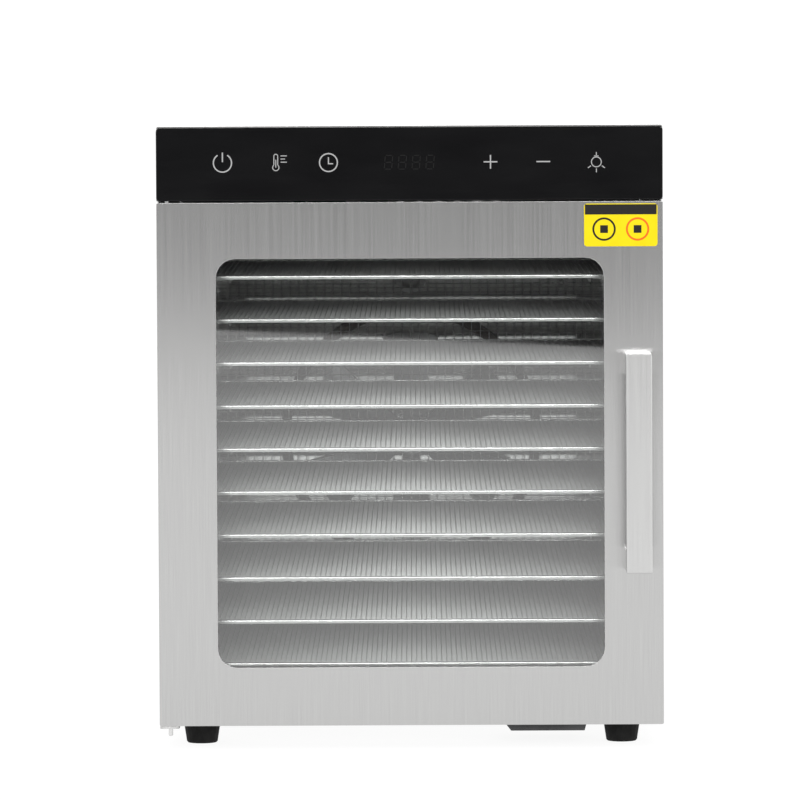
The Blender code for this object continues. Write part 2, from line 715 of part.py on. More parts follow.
def make_heater():
    """Tubular heater ring around the fan, with its two ends turned back through the wall."""
    sections = 40
    sides = 8
    bend_steps = 4
    tail_end = BULKHEAD_FRONT + SHEET + 5 * MM
    sweep = pi - HEATER_OPEN
    frames = []
    for section in range(sections + 1):
        angle = -sweep + 2 * sweep * section / sections
        outward = Vector((sin(angle), 0.0, cos(angle)))
        middle = outward * HEATER_RADIUS + Vector((0.0, HEATER_Y, FAN_Z))
        frames.append((middle, outward, Vector((0.0, 1.0, 0.0))))
    for end in (1, -1):
        angle = end * sweep
        outward = Vector((sin(angle), 0.0, cos(angle)))
        onward = Vector((end * cos(angle), 0.0, -end * sin(angle)))
        start = outward * HEATER_RADIUS + Vector((0.0, HEATER_Y, FAN_Z))
        tail = []
        for step in range(1, bend_steps + 1):
            turn = pi / 2 * step / bend_steps
            sink = Vector((0.0, HEATER_BEND * (1 - cos(turn)), 0.0))
            middle = start + onward * HEATER_BEND * sin(turn) + sink
            across = Vector((0.0, cos(turn), 0.0)) - onward * sin(turn)
            tail.append((middle, outward, across))
        last = tail[-1]
        tail.append((Vector((last[0].x, tail_end, last[0].z)), last[1], last[2]))
        frames = frames + tail if end == 1 else tail[::-1] + frames
    loops = []
    for middle, outward, across in frames:
        turns = [2 * pi * side / sides for side in range(sides)]
        spokes = [outward * cos(turn) + across * sin(turn) for turn in turns]
        loops.append([middle + spoke * HEATER_TUBE for spoke in spokes])
    loft("heater_element", loops, DARK_STEEL)


def make_heater_clip(name, side):
    """Ceramic block that holds the heater ring off the wall."""
    middle = side * HEATER_RADIUS
    half = 8 * MM
    front = HEATER_Y - 7 * MM
    outline = rounded((middle - half, front), (middle + half, BULKHEAD_FRONT - GAP), 2 * MM)
    tall = 5 * MM
    clip = prism(name, outline, "Z", FAN_Z - tall, FAN_Z + tall, CERAMIC)
    hole = rod(
        name + "_tool", HEATER_TUBE + 0.6 * MM, "Z", (middle, HEATER_Y),
        FAN_Z - 2 * tall, FAN_Z + 2 * tall)
    combine(clip, hole)


def slots(name, axis, centre, count, pitch, size, start, end):
    """A row of cutters for vent slots: size is one slot's width and height across the axis."""
    rows = []
    for number in range(count):
        middle = centre[0] + (number - (count - 1) / 2) * pitch
        low = (middle - size[0] / 2, centre[1] - size[1] / 2)
        high = (middle + size[0] / 2, centre[1] + size[1] / 2)
        outline = rounded(low, high, min(size) * NEARLY_HALF, steps=2)
        rows.append([place(outline, axis, start), place(outline, axis, end)])
    shape = bmesh.new()
    for loops in rows:
        piece = loft_mesh(name, loops)
        shape.from_mesh(piece)
        bpy.data.meshes.remove(piece)
    mesh = bpy.data.meshes.new(name)
    shape.to_mesh(mesh)
    shape.free()
    return add_object(name, mesh)


def make_rear_panel():
    """Back sheet of the body with the motor opening, the inlet opening and vent slots."""
    front = BODY_BACK - SHEET
    low = (-LINING_HALF, BODY_BOTTOM + GAP)
    high = (LINING_HALF, HEIGHT - SHEET - GAP)
    outline = rounded(low, high, 1 * MM)
    panel = prism("rear_panel", outline, "Y", front, BODY_BACK, STEEL)
    start = front - OVERCUT
    end = BODY_BACK + OVERCUT
    combine(panel, rod("rear_motor_tool", 46 * MM, "Y", (0.0, FAN_Z), start, end, steps=32))
    low = (INLET_AT[0] - INLET_HALF[0] - GAP, start, INLET_AT[1] - INLET_HALF[1] - GAP)
    high = (INLET_AT[0] + INLET_HALF[0] + GAP, end, INLET_AT[1] + INLET_HALF[1] + GAP)
    combine(panel, box("rear_inlet_tool", low, high))
    size = (VENT_SLOT, 40 * MM)
    for height in (385 * MM, 320 * MM):
        row = slots("rear_vent_tool", "Y", (0.0, height), 10, 14 * MM, size, start, end)
        combine(panel, row)


def make_motor_cover():
    """Dished cover over the motor, with a screw flange and vent slots."""
    seat = BODY_BACK + GAP
    rim = COVER_FLANGE
    half = COVER_HALF
    deep = DEPTH / 2
    taper = 6 * MM

    def ring_at(half_size, radius, level):
        low = (-half_size, FAN_Z - half_size)
        high = (half_size, FAN_Z + half_size)
        return place(rounded(low, high, radius), "Y", level)

    shoulder = deep - taper
    loops = [
        ring_at(half - taper - SHEET, 5 * MM, deep - SHEET),
        ring_at(half - SHEET, 10 * MM, shoulder),
        ring_at(half - SHEET, 10 * MM, seat),
        ring_at(half + rim, 6 * MM, seat),
        ring_at(half + rim, 6 * MM, seat + SHEET),
        ring_at(half, 11 * MM, seat + SHEET),
        ring_at(half, 11 * MM, shoulder),
        ring_at(half - taper, 6 * MM, deep),
    ]
    cover = loft("motor_cover", loops, STEEL)
    size = (VENT_SLOT, 36 * MM)
    start = deep - 3 * MM
    end = deep + OVERCUT
    for height in (FAN_Z - 24 * MM, FAN_Z + 24 * MM):
        row = slots("cover_vent_tool", "Y", (0.0, height), 7, 13 * MM, size, start, end)
        combine(cover, row)


def make_power_inlet():
    """Appliance inlet: a flanged socket with three flat pins. The cord is a separate item."""
    across, up = INLET_AT
    wide, tall = INLET_HALF
    back = BODY_BACK + GAP
    front = BODY_BACK - 14 * MM
    flange = 2.5 * MM
    border = 4 * MM
    wall = 2 * MM
    floor = front + 2.5 * MM

    def ring_at(grow, level):
        low = (across - wide - grow, up - tall - grow)
        high = (across + wide + grow, up + tall + grow)
        return place(rounded(low, high, 1.5 * MM), "Y", level)

    loops = [
        ring_at(0.0, front), ring_at(0.0, back), ring_at(border, back), ring_at(border, back + flange),
        ring_at(-wall, back + flange), ring_at(-wall, floor),
    ]
    inlet = loft("power_inlet", loops, BLACK_PLASTIC)
    for offset, lift in ((-7 * MM, -1 * MM), (0.0, 3 * MM), (7 * MM, -1 * MM)):
        low = (across + offset - 1 * MM, floor - 1 * MM, up + lift - 2 * MM)
        high = (across + offset + 1 * MM, floor + 10 * MM, up + lift + 2 * MM)
        combine(inlet, box("inlet_pin_tool", low, high), "UNION")


def make_bottom_panel():
    """Bottom pan with upturned edges and air slots above the vent cover."""
    rim = BODY_BOTTOM + 12 * MM
    low = (-LINING_HALF, BODY_FRONT + SHEET + GAP)
    high = (LINING_HALF, BODY_BACK - SHEET - GAP)
    outer = rounded(low, high, 2 * MM)
    inner = rounded((low[0] + SHEET, low[1] + SHEET), (high[0] - SHEET, high[1] - SHEET), 1 * MM)
    loops = [
        place(outer, "Z", BODY_BOTTOM), place(outer, "Z", rim), place(inner, "Z", rim),
        place(inner, "Z", BODY_BOTTOM + SHEET),
    ]
    pan = loft("bottom_panel", loops, STEEL)
    centre = ((VENT_LEFT + VENT_RIGHT) / 2, (VENT_FRONT + VENT_BACK) / 2)
    size = (VENT_SLOT, 34 * MM)
    row = slots("bottom_vent_tool", "Z", centre, 5, 9 * MM, size, 0.0, BODY_BOTTOM + OVERCUT)
    combine(pan, row)


def make_bottom_vent_cover():
    """Shallow scoop under the air slots, open towards the back."""
    top = BODY_BOTTOM - GAP
    bottom = 8 * MM
    left_foot = VENT_LEFT + 6 * MM
    right_foot = VENT_RIGHT - 2 * MM
    outer = [(VENT_LEFT, top), (left_foot, bottom), (right_foot, bottom), (VENT_RIGHT, top)]
    cover = prism("bottom_vent_cover", outer, "Y", VENT_FRONT, VENT_BACK, DARK_STEEL)
    wall = 1.2 * MM
    inner = [
        (VENT_LEFT + wall, top + OVERCUT), (VENT_LEFT + wall, top),
        (left_foot + wall / 2, bottom + wall), (right_foot - wall, bottom + wall),
        (VENT_RIGHT - wall, top), (VENT_RIGHT - wall, top + OVERCUT),
    ]
    combine(cover, prism("scoop_tool", inner, "Y", VENT_FRONT + wall, VENT_BACK + OVERCUT))


def make_foot(name, across, along):
    """Tapered rubber foot with a recess for its screw."""
    profile = (
        (4 * MM, 11 * MM), (4 * MM, 0.0), (9.8 * MM, 0.0), (10.5 * MM, 0.8 * MM),
        (12.6 * MM, BODY_BOTTOM - GAP - 1 * MM), (12.2 * MM, BODY_BOTTOM - GAP),
    )
    turned(name, profile, "Z", (across, along), BLACK_RUBBER, steps=20)


def make_door_shell():
    """Outer door skin: a front with the window cut out, folded back on all four sides."""
    skin = DOOR_FRONT + SHEET
    back = DOOR_BACK
    inner_half = CASE_HALF - SHEET
    outer = rounded((-CASE_HALF, BODY_BOTTOM), (CASE_HALF, DOOR_TOP), BEND, WINDOW_STEPS)
    inner = rounded(
        (-inner_half, BODY_BOTTOM + SHEET), (inner_half, DOOR_TOP - SHEET), BEND / 2, WINDOW_STEPS)
    window = rounded(
        (-WINDOW_HALF, WINDOW_LOW), (WINDOW_HALF, WINDOW_HIGH), WINDOW_RADIUS, WINDOW_STEPS)
    loops = [
        place(outer, "Y", DOOR_FRONT), place(outer, "Y", back), place(inner, "Y", back),
        place(inner, "Y", skin), place(window, "Y", skin), place(window, "Y", DOOR_FRONT),
    ]
    shell = loft("door_shell", loops, STEEL, ring=True)
    for level in (BODY_BOTTOM, DOOR_TOP):
        hole = rod("door_pin_tool", PIN_HOLE, "Z", (HINGE_X, HINGE_Y), level - OVERCUT, level + OVERCUT)
        combine(shell, hole)
    for level in screw_levels():
        hole = rod(
            "door_screw_tool", SCREW_RADIUS + GAP, "Y", (HANDLE_X, level),
            DOOR_FRONT - OVERCUT, skin + OVERCUT)
        combine(shell, hole)


def make_door_inner_frame():
    """Inner door frame that closes the back and clamps the glass."""
    mouth = (
        WINDOW_HALF + CLAMP_EDGE, WINDOW_LOW - CLAMP_EDGE, WINDOW_HIGH + CLAMP_EDGE,
        WINDOW_RADIUS + CLAMP_EDGE,
    )
    inset = SHEET + 0.4 * MM
    clamp = DOOR_FRONT + SHEET + GLASS_THICK + 2 * GAP
    l_section_ring(
        "door_inner_frame", CASE_HALF - inset, BODY_BOTTOM + inset, DOOR_TOP - inset, mouth,
        DOOR_BACK, DOOR_BACK - SHEET, clamp, STEEL)


def make_door_glass():
    """Toughened glass pane behind the door skin."""
    front = DOOR_FRONT + SHEET + GAP
    low = (-WINDOW_HALF - GLASS_EDGE, WINDOW_LOW - GLASS_EDGE)
    high = (WINDOW_HALF + GLASS_EDGE, WINDOW_HIGH + GLASS_EDGE)
    prism("door_glass", rounded(low, high, 5 * MM), "Y", front, front + GLASS_THICK, CLEAR_GLASS)


def make_door_gasket():
    """Silicone seal around the chamber's mouth."""
    inner_half = 153 * MM
    wide = 7 * MM
    low = 34.2 * MM
    high = 354 * MM
    outer = rounded((-inner_half - wide, low - wide), (inner_half + wide, high + wide), 9 * MM)
    inner = rounded((-inner_half, low), (inner_half, high), 3 * MM)
    front = DOOR_BACK + GAP
    back = BODY_FRONT - GAP
    loops = [
        place(outer, "Y", front), place(outer, "Y", back), place(inner, "Y", back),
        place(inner, "Y", front),
    ]
    loft("door_gasket", loops, GREY_SILICONE, ring=True)


def screw_levels():
    """Heights of the two handle screws."""
    return (HANDLE_LOW + SCREW_INSET, HANDLE_HIGH - SCREW_INSET)


def make_door_handle():
    """Square bridge handle with two legs, and the screws that hold it from inside the door."""
    foot = DOOR_FRONT - GAP
    bar_back = HANDLE_FRONT + HANDLE_BAR
    outline = [
        (HANDLE_FRONT, HANDLE_LOW), (HANDLE_FRONT, HANDLE_HIGH), (foot, HANDLE_HIGH),
        (foot, HANDLE_HIGH - HANDLE_LEG), (bar_back, HANDLE_HIGH - HANDLE_LEG),
        (bar_back, HANDLE_LOW + HANDLE_LEG), (foot, HANDLE_LOW + HANDLE_LEG), (foot, HANDLE_LOW),
    ]
    left = HANDLE_X - HANDLE_WIDE / 2
    handle = bevel(prism("door_handle", outline, "X", left, left + HANDLE_WIDE, STEEL), 0.9 * MM)
    tip = foot - 16 * MM
    head_front = DOOR_FRONT + SHEET + GAP
    for label, level in zip(("bottom", "top"), screw_levels()):
        bore = rod(
            "handle_bore_tool", SCREW_RADIUS + GAP, "Y", (HANDLE_X, level),
            tip - 1 * MM, foot + OVERCUT)
        combine(handle, bore)
        profile = (
            (SCREW_RADIUS * 0.7, tip), (SCREW_RADIUS, tip + 1 * MM), (SCREW_RADIUS, head_front),
            (3.8 * MM, head_front), (3.8 * MM, head_front + 1.4 * MM), (2.6 * MM, head_front + 2.4 * MM),
        )
        turned(f"handle_screw_{label}", profile, "Y", (HANDLE_X, level), BRIGHT_STEEL)


def make_hinges():
    """Pivot hinges: a bracket and a pin at the door's top and bottom left corners."""
    centre = (HINGE_X, HINGE_Y)
    front = DOOR_FRONT + 4.5 * MM
    bottom_top = BODY_BOTTOM - GAP
    thick = 2 * MM
    plate = rounded((-CASE_HALF, front), (-157 * MM, -130 * MM), 2 * MM)
    lower = prism("hinge_bracket_bottom", plate, "Z", bottom_top - thick, bottom_top, STEEL)
    hole = rod("lower_pin_tool", PIN_HOLE, "Z", centre, bottom_top - OVERCUT, bottom_top + OVERCUT)
    combine(lower, hole)
    pin = (
        (PIN_RADIUS * 0.7, 8.3 * MM), (PIN_RADIUS, 9 * MM), (PIN_RADIUS, 33 * MM),
        (PIN_RADIUS * 0.6, 34.5 * MM),
    )
    turned("hinge_pin_bottom", pin, "Z", centre, BRIGHT_STEEL, steps=16)
    seat = PANEL_BOTTOM + 2.3 * MM
    bracket = rounded((-165.4 * MM, DOOR_FRONT + 5 * MM), (-150 * MM, -160 * MM), 2 * MM)
    upper_top = seat + 1.5 * MM
    upper = prism("hinge_bracket_top", bracket, "Z", seat, upper_top, STEEL)
    hole = rod("upper_pin_tool", PIN_HOLE, "Z", centre, seat - OVERCUT, upper_top + OVERCUT)
    combine(upper, hole)
    head = upper_top + GAP
    pin = (
        (PIN_RADIUS * 0.6, 350.5 * MM), (PIN_RADIUS, 352 * MM), (PIN_RADIUS, head), (2.8 * MM, head),
        (2.8 * MM, head + 2 * MM),
    )
    turned("hinge_pin_top", pin, "Z", centre, BRIGHT_STEEL, steps=16)


def make_door_sticker():
    """Thin printed sticker in the door's top right corner."""
    back = DOOR_FRONT - GAP
    outline = rounded(STICKER_LOW, STICKER_HIGH, 2 * MM)
    prism("door_sticker", outline, "Y", back - STICKER_THICK, back, YELLOW)


def make_body():
    """Everything fixed to the cabinet."""
    make_outer_case()
    make_bottom_panel()
    make_bottom_vent_cover()
    make_rear_panel()
    make_power_inlet()
    make_front_frame()
    make_chamber()
    make_tray_rack("tray_rack_left", -1)
    make_tray_rack("tray_rack_right", 1)
    make_rear_bulkhead()
    make_fan_guard()
    make_sensors()
    make_lamp()
    for row, along in (("front", FOOT_FRONT_Y), ("back", FOOT_BACK_Y)):
        for side, across in (("left", -FOOT_X), ("right", FOOT_X)):
            make_foot(f"foot_{row}_{side}", across, along)


def make_panel():
    """The control panel and the board that it drives."""
    make_control_glass()
    make_panel_housing()
    make_controls()
    make_power_board()


def make_drive():
    """Fan, motor and heater behind the guard."""
    make_fan()
    make_motor_bracket()
    make_fan_motor()
    make_motor_cover()
    make_heater()
    make_heater_clip("heater_clip_left", -1)
    make_heater_clip("heater_clip_right", 1)


def make_door():
    """The door, its hinges and its catch."""
    make_door_shell()
    make_door_inner_frame()
    make_door_glass()
    make_door_gasket()
    make_door_handle()
    make_hinges()
    make_catch()
    make_door_sticker()


def main():
    """Build every sub-part."""
    clear_scene()
    make_body()
    make_panel()
    make_drive()
    make_door()
    for number in range(TRAY_COUNT):
        make_tray(number)


main()
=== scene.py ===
"""Looks of the food dehydrator: finishes, woven trays, printed marks, studio and camera.

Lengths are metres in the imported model's frame. The door faces -Y and +Z is up.
"""
import json
from math import cos, pi, radians, sin, tau

import bmesh
import bpy
import numpy as np
from mathutils import Matrix, Vector

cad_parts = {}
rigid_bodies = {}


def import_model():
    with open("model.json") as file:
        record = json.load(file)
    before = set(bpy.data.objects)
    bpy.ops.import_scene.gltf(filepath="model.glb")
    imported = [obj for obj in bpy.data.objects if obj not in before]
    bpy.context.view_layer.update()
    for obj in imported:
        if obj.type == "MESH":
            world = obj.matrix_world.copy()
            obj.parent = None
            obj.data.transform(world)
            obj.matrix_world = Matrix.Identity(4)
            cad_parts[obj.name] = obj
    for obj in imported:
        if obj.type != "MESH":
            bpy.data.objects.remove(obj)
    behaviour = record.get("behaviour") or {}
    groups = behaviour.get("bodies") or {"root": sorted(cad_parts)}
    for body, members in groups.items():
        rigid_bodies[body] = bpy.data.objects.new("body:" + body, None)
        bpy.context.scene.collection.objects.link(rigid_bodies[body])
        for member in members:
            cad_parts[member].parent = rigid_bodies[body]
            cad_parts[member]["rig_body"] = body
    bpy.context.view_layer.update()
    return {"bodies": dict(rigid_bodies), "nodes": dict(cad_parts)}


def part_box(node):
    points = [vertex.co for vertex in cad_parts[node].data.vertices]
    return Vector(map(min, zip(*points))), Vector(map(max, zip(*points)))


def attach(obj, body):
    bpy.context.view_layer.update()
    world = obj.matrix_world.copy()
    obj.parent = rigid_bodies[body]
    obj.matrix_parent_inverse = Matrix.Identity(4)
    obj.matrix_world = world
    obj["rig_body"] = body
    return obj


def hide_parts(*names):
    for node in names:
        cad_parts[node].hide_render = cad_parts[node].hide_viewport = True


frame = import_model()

MM = 0.001
NODES = frame["nodes"]
TRAY_COUNT = sum(name.startswith("tray_body") for name in frame["bodies"])

# Rounded edges
EDGE_RADIUS = 0.4 * MM
EDGE_SEGMENTS = 3
EDGE_ANGLE = radians(30)              # sharper edges than this are rounded
WELD = 0.005 * MM                     # points closer than this are one point
FLAT_ANGLE = radians(0.5)             # faces that meet flatter than this are one face
EASED_NODES = ("outer_case", "door_shell", "rear_panel", "motor_cover", "bottom_vent_cover")

# Trays
RIM_CORNER = 6 * MM
RIM_CORNER_STEPS = 6
RIM_WIDE = 5 * MM
SHEET_TUCK = 1 * MM                   # how far the woven sheet runs into the rim
WIRE_PITCH = 3.4 * MM
CROSS_RADIUS = 0.22 * MM              # thin straight wires that run from side to side
RIB_RADIUS = 0.38 * MM                # thicker wires that run from front to back
RIB_WAVE = CROSS_RADIUS + RIB_RADIUS  # and weave over and under the thin ones
WIRE_SIDES = 5
WIRE_TURN = 0.25                      # how far a wire's first corner is turned, in sides

# Fan guard
GUARD_PITCH = 6.35 * MM
GUARD_WIRE = 0.4 * MM                 # radius
GUARD_SIDES = 6
DOUBLE_WIRE = 1.1 * MM                # distance of the second wire at the guard's middle

# Finishes
NOISE_LOW = 0.3                       # noise seldom leaves these two limits
NOISE_HIGH = 0.7
GRAIN_WAY = (0.0, 0.05, 1.0)          # upright, with just enough lean to hold on level faces
GLASS_IOR = 2.33                      # both faces of the coated pane, counted on its front face
GLASS_TINT = (0.975, 0.985, 0.98, 1.0)
GLASS_SMEAR = 0.03                    # the roughness of the worst wipe marks
WIPES_PER_METRE = 14.0

# Printed marks
INK = 0.05 * MM                       # how far the ink stands out
STROKE = 0.85 * MM
THIN_STROKE = 0.6 * MM
SHARPEST_MITRE = 0.35                 # keeps a stroke's corners from growing into spikes
KEYS_UP = 25.7 * MM                   # from the control glass's foot to the middle of the symbols
POWER_X = -125.3 * MM
THERMOMETER_X = -89.5 * MM
CLOCK_X = -54.2 * MM
PLUS_X = 54.5 * MM
MINUS_X = 89.9 * MM
LAMP_X = 125.5 * MM
PLUS_HALF = 4.6 * MM
POWER_RADIUS = 6.1 * MM
POWER_RUN = (122, 418)                # degrees from and to which the ring runs
POWER_BAR = (0.6 * MM, 7.0 * MM)      # the bar's ends above the ring's centre
CLOCK_RADIUS = 6.0 * MM
HAND_WIDTH = 0.9 * STROKE
HAND_UP = 3.6 * MM
HAND_RIGHT = 3.1 * MM
HANDS_DROP = 0.8 * MM                 # of the hands' pivot below the ring's centre
BULB_RADIUS = 3.3 * MM
BULB_DROP = 0.4 * MM                  # of the bulb's centre below the other symbols' middle
BULB_NECK = 4.0 * MM                  # from the bulb's centre to its neck
NECK_HALF = 1.5 * MM
NECK_STEM = 2.6 * MM
BULB_RAYS = (-145, -90, -35)          # degrees
RAY_REACH = (4.4 * MM, 7.0 * MM)
STEM_HALF = 1.3 * MM                  # half the width of the thermometer's stem
STEM_TOP = 4.6 * MM
STEM_FOOT = -1.5 * MM
STEM_CAP = 4.4 * MM                   # the centre of the half ring that closes the stem
WELL_RADIUS = 2.1 * MM                # of the thermometer's bulb
WELL_DROP = 3.2 * MM
WELL_RUN = (128, 412)                 # degrees
COLUMN_TOP = 2.0 * MM
TICK_LENGTHS = (4.2 * MM, 3.0 * MM, 4.2 * MM)
TICK_IN = 3.2 * MM
TICK_PITCH = 2.1 * MM
DIGIT_COUNT = 4
DIGIT_HALF_WIDE = 2.5 * MM
DIGIT_HALF_HIGH = 4.6 * MM
DIGIT_PITCH = 9.3 * MM
DIGIT_LEAN = 0.08
SEGMENT_ACROSS = 0.72                 # half a level segment, as a share of the digit's half width
SEGMENT_GAP = 0.14                    # left at each end of an upright segment, as a share of its length
STICKER_EDGE = 0.6 * MM               # yellow left around the black band
BAND_UP = 21.4 * MM                   # from the sticker's foot to the band
RING_UP = 11.6 * MM
RING_IN = 13.4 * MM                   # from the sticker's ends to the rings' centres
RING_RADIUS = 7.2 * MM
RING_WIDTH = 1.3 * MM
RING_BLOCK = 2.6 * MM                 # half the block's side

# Screws of the rear panel
SCREW_RADIUS = 3.0 * MM
SCREW_HEIGHT = 1.6 * MM
SCREW_STEPS = 24
SCREW_INSET = 7 * MM                  # from the panel's edges
SCREW_PROFILE = ((0.2, 1.0), (0.62, 0.93), (0.88, 0.66), (1.0, 0.25), (1.0, -0.3))
CROSS_HALF = 0.35 * MM                # half the width of the recess's slots
CROSS_LONG = 1.7 * MM
CROSS_LEVELS = (0.6, 1.01)            # shares of the head's height

# Studio
FLOOR_REACH = 40.0
FLOOR_TONE = 0.15
FLOOR_GLOW = 0.9
FLAG_TONE = 0.035
FLAG_NEAR = -5.84                     # the near edge of the flag on the floor, at its middle
FLAG_SLANT = 0.898                    # how far each end of that edge lies off square
FLAG_FAR = -12.0
FLAG_HALF_NEAR = 0.87
FLAG_HALF_FAR = 1.85
FLAG_HIGH = 3.0
LIGHT_SIZE = (3.6, 1.2)
LIGHT_WATTS = 160.0
LIGHT_AT = (0.0, -8.0, 1.75)
LIGHT_AIM = (0.0, -0.1, 0.2)
WORLD_TURN = (0.3, 0.9)               # how far a direction has to point backwards for the world to brighten
WORLD_FRONT = 1.0
WORLD_BACK = 1.8

# Camera
CAMERA_AT = (0.0053, -4.299, 0.4774)
CAMERA_PITCH = radians(3.37)          # downwards
CAMERA_TURN = radians(0.171)          # to the left
CAMERA_ROLL = radians(-0.271)
CAMERA_LENS = 275.2
CAMERA_SENSOR = 36.0
CAMERA_CLIP = (0.1, 100.0)


# ---------------------------------------------------------------- materials

class Finish:
    """A procedural material, built up from its main shader."""

    def __init__(self, name, roughness, metallic=0.0, specular=0.5):
        self.material = bpy.data.materials.new(name)
        self.material.use_nodes = True
        tree = self.material.node_tree
        self.nodes = tree.nodes
        self.links = tree.links
        self.shader = self.nodes["Principled BSDF"]
        self.set("Roughness", roughness)
        self.set("Metallic", metallic)
        self.set("Specular IOR Level", specular)
        self.place = self.nodes.new("ShaderNodeTexCoord").outputs["Object"]

    def set(self, socket, value):
        """Set a value that is the same all over the surface."""
        self.shader.inputs[socket].default_value = value

    def add(self, kind, values, source=None, target=0):
        """Add a node, set its inputs and link one source into it."""
        node = self.nodes.new(kind)
        for socket, value in values.items():
            node.inputs[socket].default_value = value
        if source is not None:
            self.links.new(source, node.inputs[target])
        return node

    def grain(self, cell, detail=2.0):
        """Noise whose cells measure about this much along X, Y and Z."""
        scale = [1 / size for size in cell]
        mapping = self.add("ShaderNodeMapping", {"Scale": scale}, self.place, "Vector")
        noise = self.add(
            "ShaderNodeTexNoise", {"Scale": 1.0, "Detail": detail}, mapping.outputs[0], "Vector")
        return noise.outputs[0]

    def spread(self, amount, low, high):
        """Turn noise into a value between two limits."""
        values = {"From Min": NOISE_LOW, "From Max": NOISE_HIGH, "To Min": low, "To Max": high}
        return self.add("ShaderNodeMapRange", values, amount, "Value").outputs[0]

    def colour(self, amount, dark, light):
        """Shade the surface between two colours."""
        ramp = self.add("ShaderNodeValToRGB", {}, amount)
        ends = ramp.color_ramp.elements
        for end, place, tone in zip(ends, (NOISE_LOW, NOISE_HIGH), (dark, light)):
            end.position = place
            end.color = (*tone, 1.0)
        self.links.new(ramp.outputs[0], self.shader.inputs["Base Color"])
        return self

    def gloss(self, amount, low, high):
        """Let the roughness wander between two limits."""
        self.links.new(self.spread(amount, low, high), self.shader.inputs["Roughness"])
        return self

    def relief(self, amount, height):
        """Raise the surface by up to this height."""
        bump = self.add("ShaderNodeBump", {"Strength": 1.0, "Distance": height}, amount, "Height")
        self.links.new(bump.outputs[0], self.shader.inputs["Normal"])
        return self

    def brushed(self, amount):
        """Stretch highlights across an upright brushed grain, which runs front to back on level faces."""
        self.set("Anisotropic", amount)
        normal = self.nodes.new("ShaderNodeNewGeometry").outputs["Normal"]
        across = self.add("ShaderNodeVectorMath", {1: GRAIN_WAY}, normal)
        across.operation = "CROSS_PRODUCT"
        self.links.new(across.outputs[0], self.shader.inputs["Tangent"])
        return self


def grey(value):
    """A neutral stainless tone, very slightly warm."""
    return (value, value * 0.997, value * 0.99)


def make_case_steel():
    """Stainless sheet with a fine upright brushed grain."""
    finish = Finish("case_brushed_steel", roughness=0.2, metallic=1.0).brushed(0.9)
    streaks = finish.grain((0.35 * MM, 0.35 * MM, 45 * MM), detail=3.0)
    finish.colour(streaks, grey(0.51), grey(0.555))
    wander = finish.grain((1.2 * MM, 1.2 * MM, 200 * MM))
    finish.gloss(wander, 0.19, 0.21)
    return finish.relief(streaks, 0.0015 * MM).material


def make_handle_steel():
    """Heavier bar stock of the handle, brushed along its length."""
    finish = Finish("handle_brushed_steel", roughness=0.24, metallic=1.0).brushed(0.7)
    streaks = finish.grain((0.4 * MM, 0.4 * MM, 60 * MM), detail=3.0)
    finish.colour(streaks, grey(0.59), grey(0.64))
    finish.gloss(streaks, 0.22, 0.26)
    return finish.relief(streaks, 0.0015 * MM).material


def make_inner_steel():
    """Plain cold-rolled stainless sheet inside the cabinet."""
    finish = Finish("inner_rolled_steel", roughness=0.3, metallic=1.0)
    rolled = finish.grain((3 * MM, 40 * MM, 3 * MM), detail=4.0)
    finish.colour(rolled, grey(0.52), grey(0.60))
    finish.gloss(finish.grain((9 * MM, 9 * MM, 9 * MM)), 0.24, 0.34)
    return finish.relief(rolled, 0.01 * MM).material


def make_polished_steel():
    """Polished stainless wall behind the fan."""
    finish = Finish("polished_back_wall", roughness=0.1, metallic=1.0)
    buffed = finish.grain((30 * MM, 30 * MM, 2 * MM), detail=4.0)
    finish.colour(buffed, grey(0.60), grey(0.68))
    finish.gloss(buffed, 0.08, 0.13)
    return finish.relief(finish.grain((40 * MM, 40 * MM, 40 * MM)), 0.05 * MM).material


def make_bright_steel():
    """Drawn stainless wire and rod."""
    finish = Finish("drawn_bright_steel", roughness=0.2, metallic=1.0)
    drawn = finish.grain((0.8 * MM, 0.8 * MM, 0.8 * MM), detail=3.0)
    finish.colour(drawn, grey(0.66), grey(0.76))
    return finish.gloss(drawn, 0.16, 0.28).material


def make_woven_steel():
    """Fine stainless wire of the tray sheets."""
    finish = Finish("woven_tray_wire", roughness=0.45, metallic=0.3)
    drawn = finish.grain((1.2 * MM, 1.2 * MM, 1.2 * MM), detail=3.0)
    finish.colour(drawn, grey(0.80), grey(0.92))
    return finish.gloss(drawn, 0.4, 0.52).material


def make_rim_steel():
    """Folded bright rim of the trays."""
    finish = Finish("folded_tray_rim", roughness=0.25, metallic=1.0)
    rolled = finish.grain((6 * MM, 6 * MM, 0.3 * MM), detail=3.0)
    finish.colour(rolled, grey(0.52), grey(0.60))
    finish.gloss(rolled, 0.2, 0.32)
    return finish.relief(rolled, 0.006 * MM).material


def make_dark_steel():
    """Dark grey coated steel with a faint orange-peel skin."""
    finish = Finish("dark_coated_steel", roughness=0.42, metallic=0.7)
    patches = finish.grain((14 * MM, 14 * MM, 14 * MM))
    finish.colour(patches, (0.05, 0.05, 0.052), (0.078, 0.078, 0.08))
    peel = finish.grain((0.9 * MM, 0.9 * MM, 0.9 * MM))
    finish.gloss(peel, 0.36, 0.5)
    return finish.relief(peel, 0.02 * MM).material


def make_heater_steel():
    """Heater sheath, dulled and browned by heat."""
    finish = Finish("heat_dulled_sheath", roughness=0.5, metallic=0.8)
    scale = finish.grain((5 * MM, 5 * MM, 5 * MM), detail=5.0)
    finish.colour(scale, (0.10, 0.085, 0.07), (0.22, 0.19, 0.16))
    finish.gloss(scale, 0.42, 0.62)
    return finish.relief(finish.grain((0.4 * MM, 0.4 * MM, 0.4 * MM)), 0.02 * MM).material


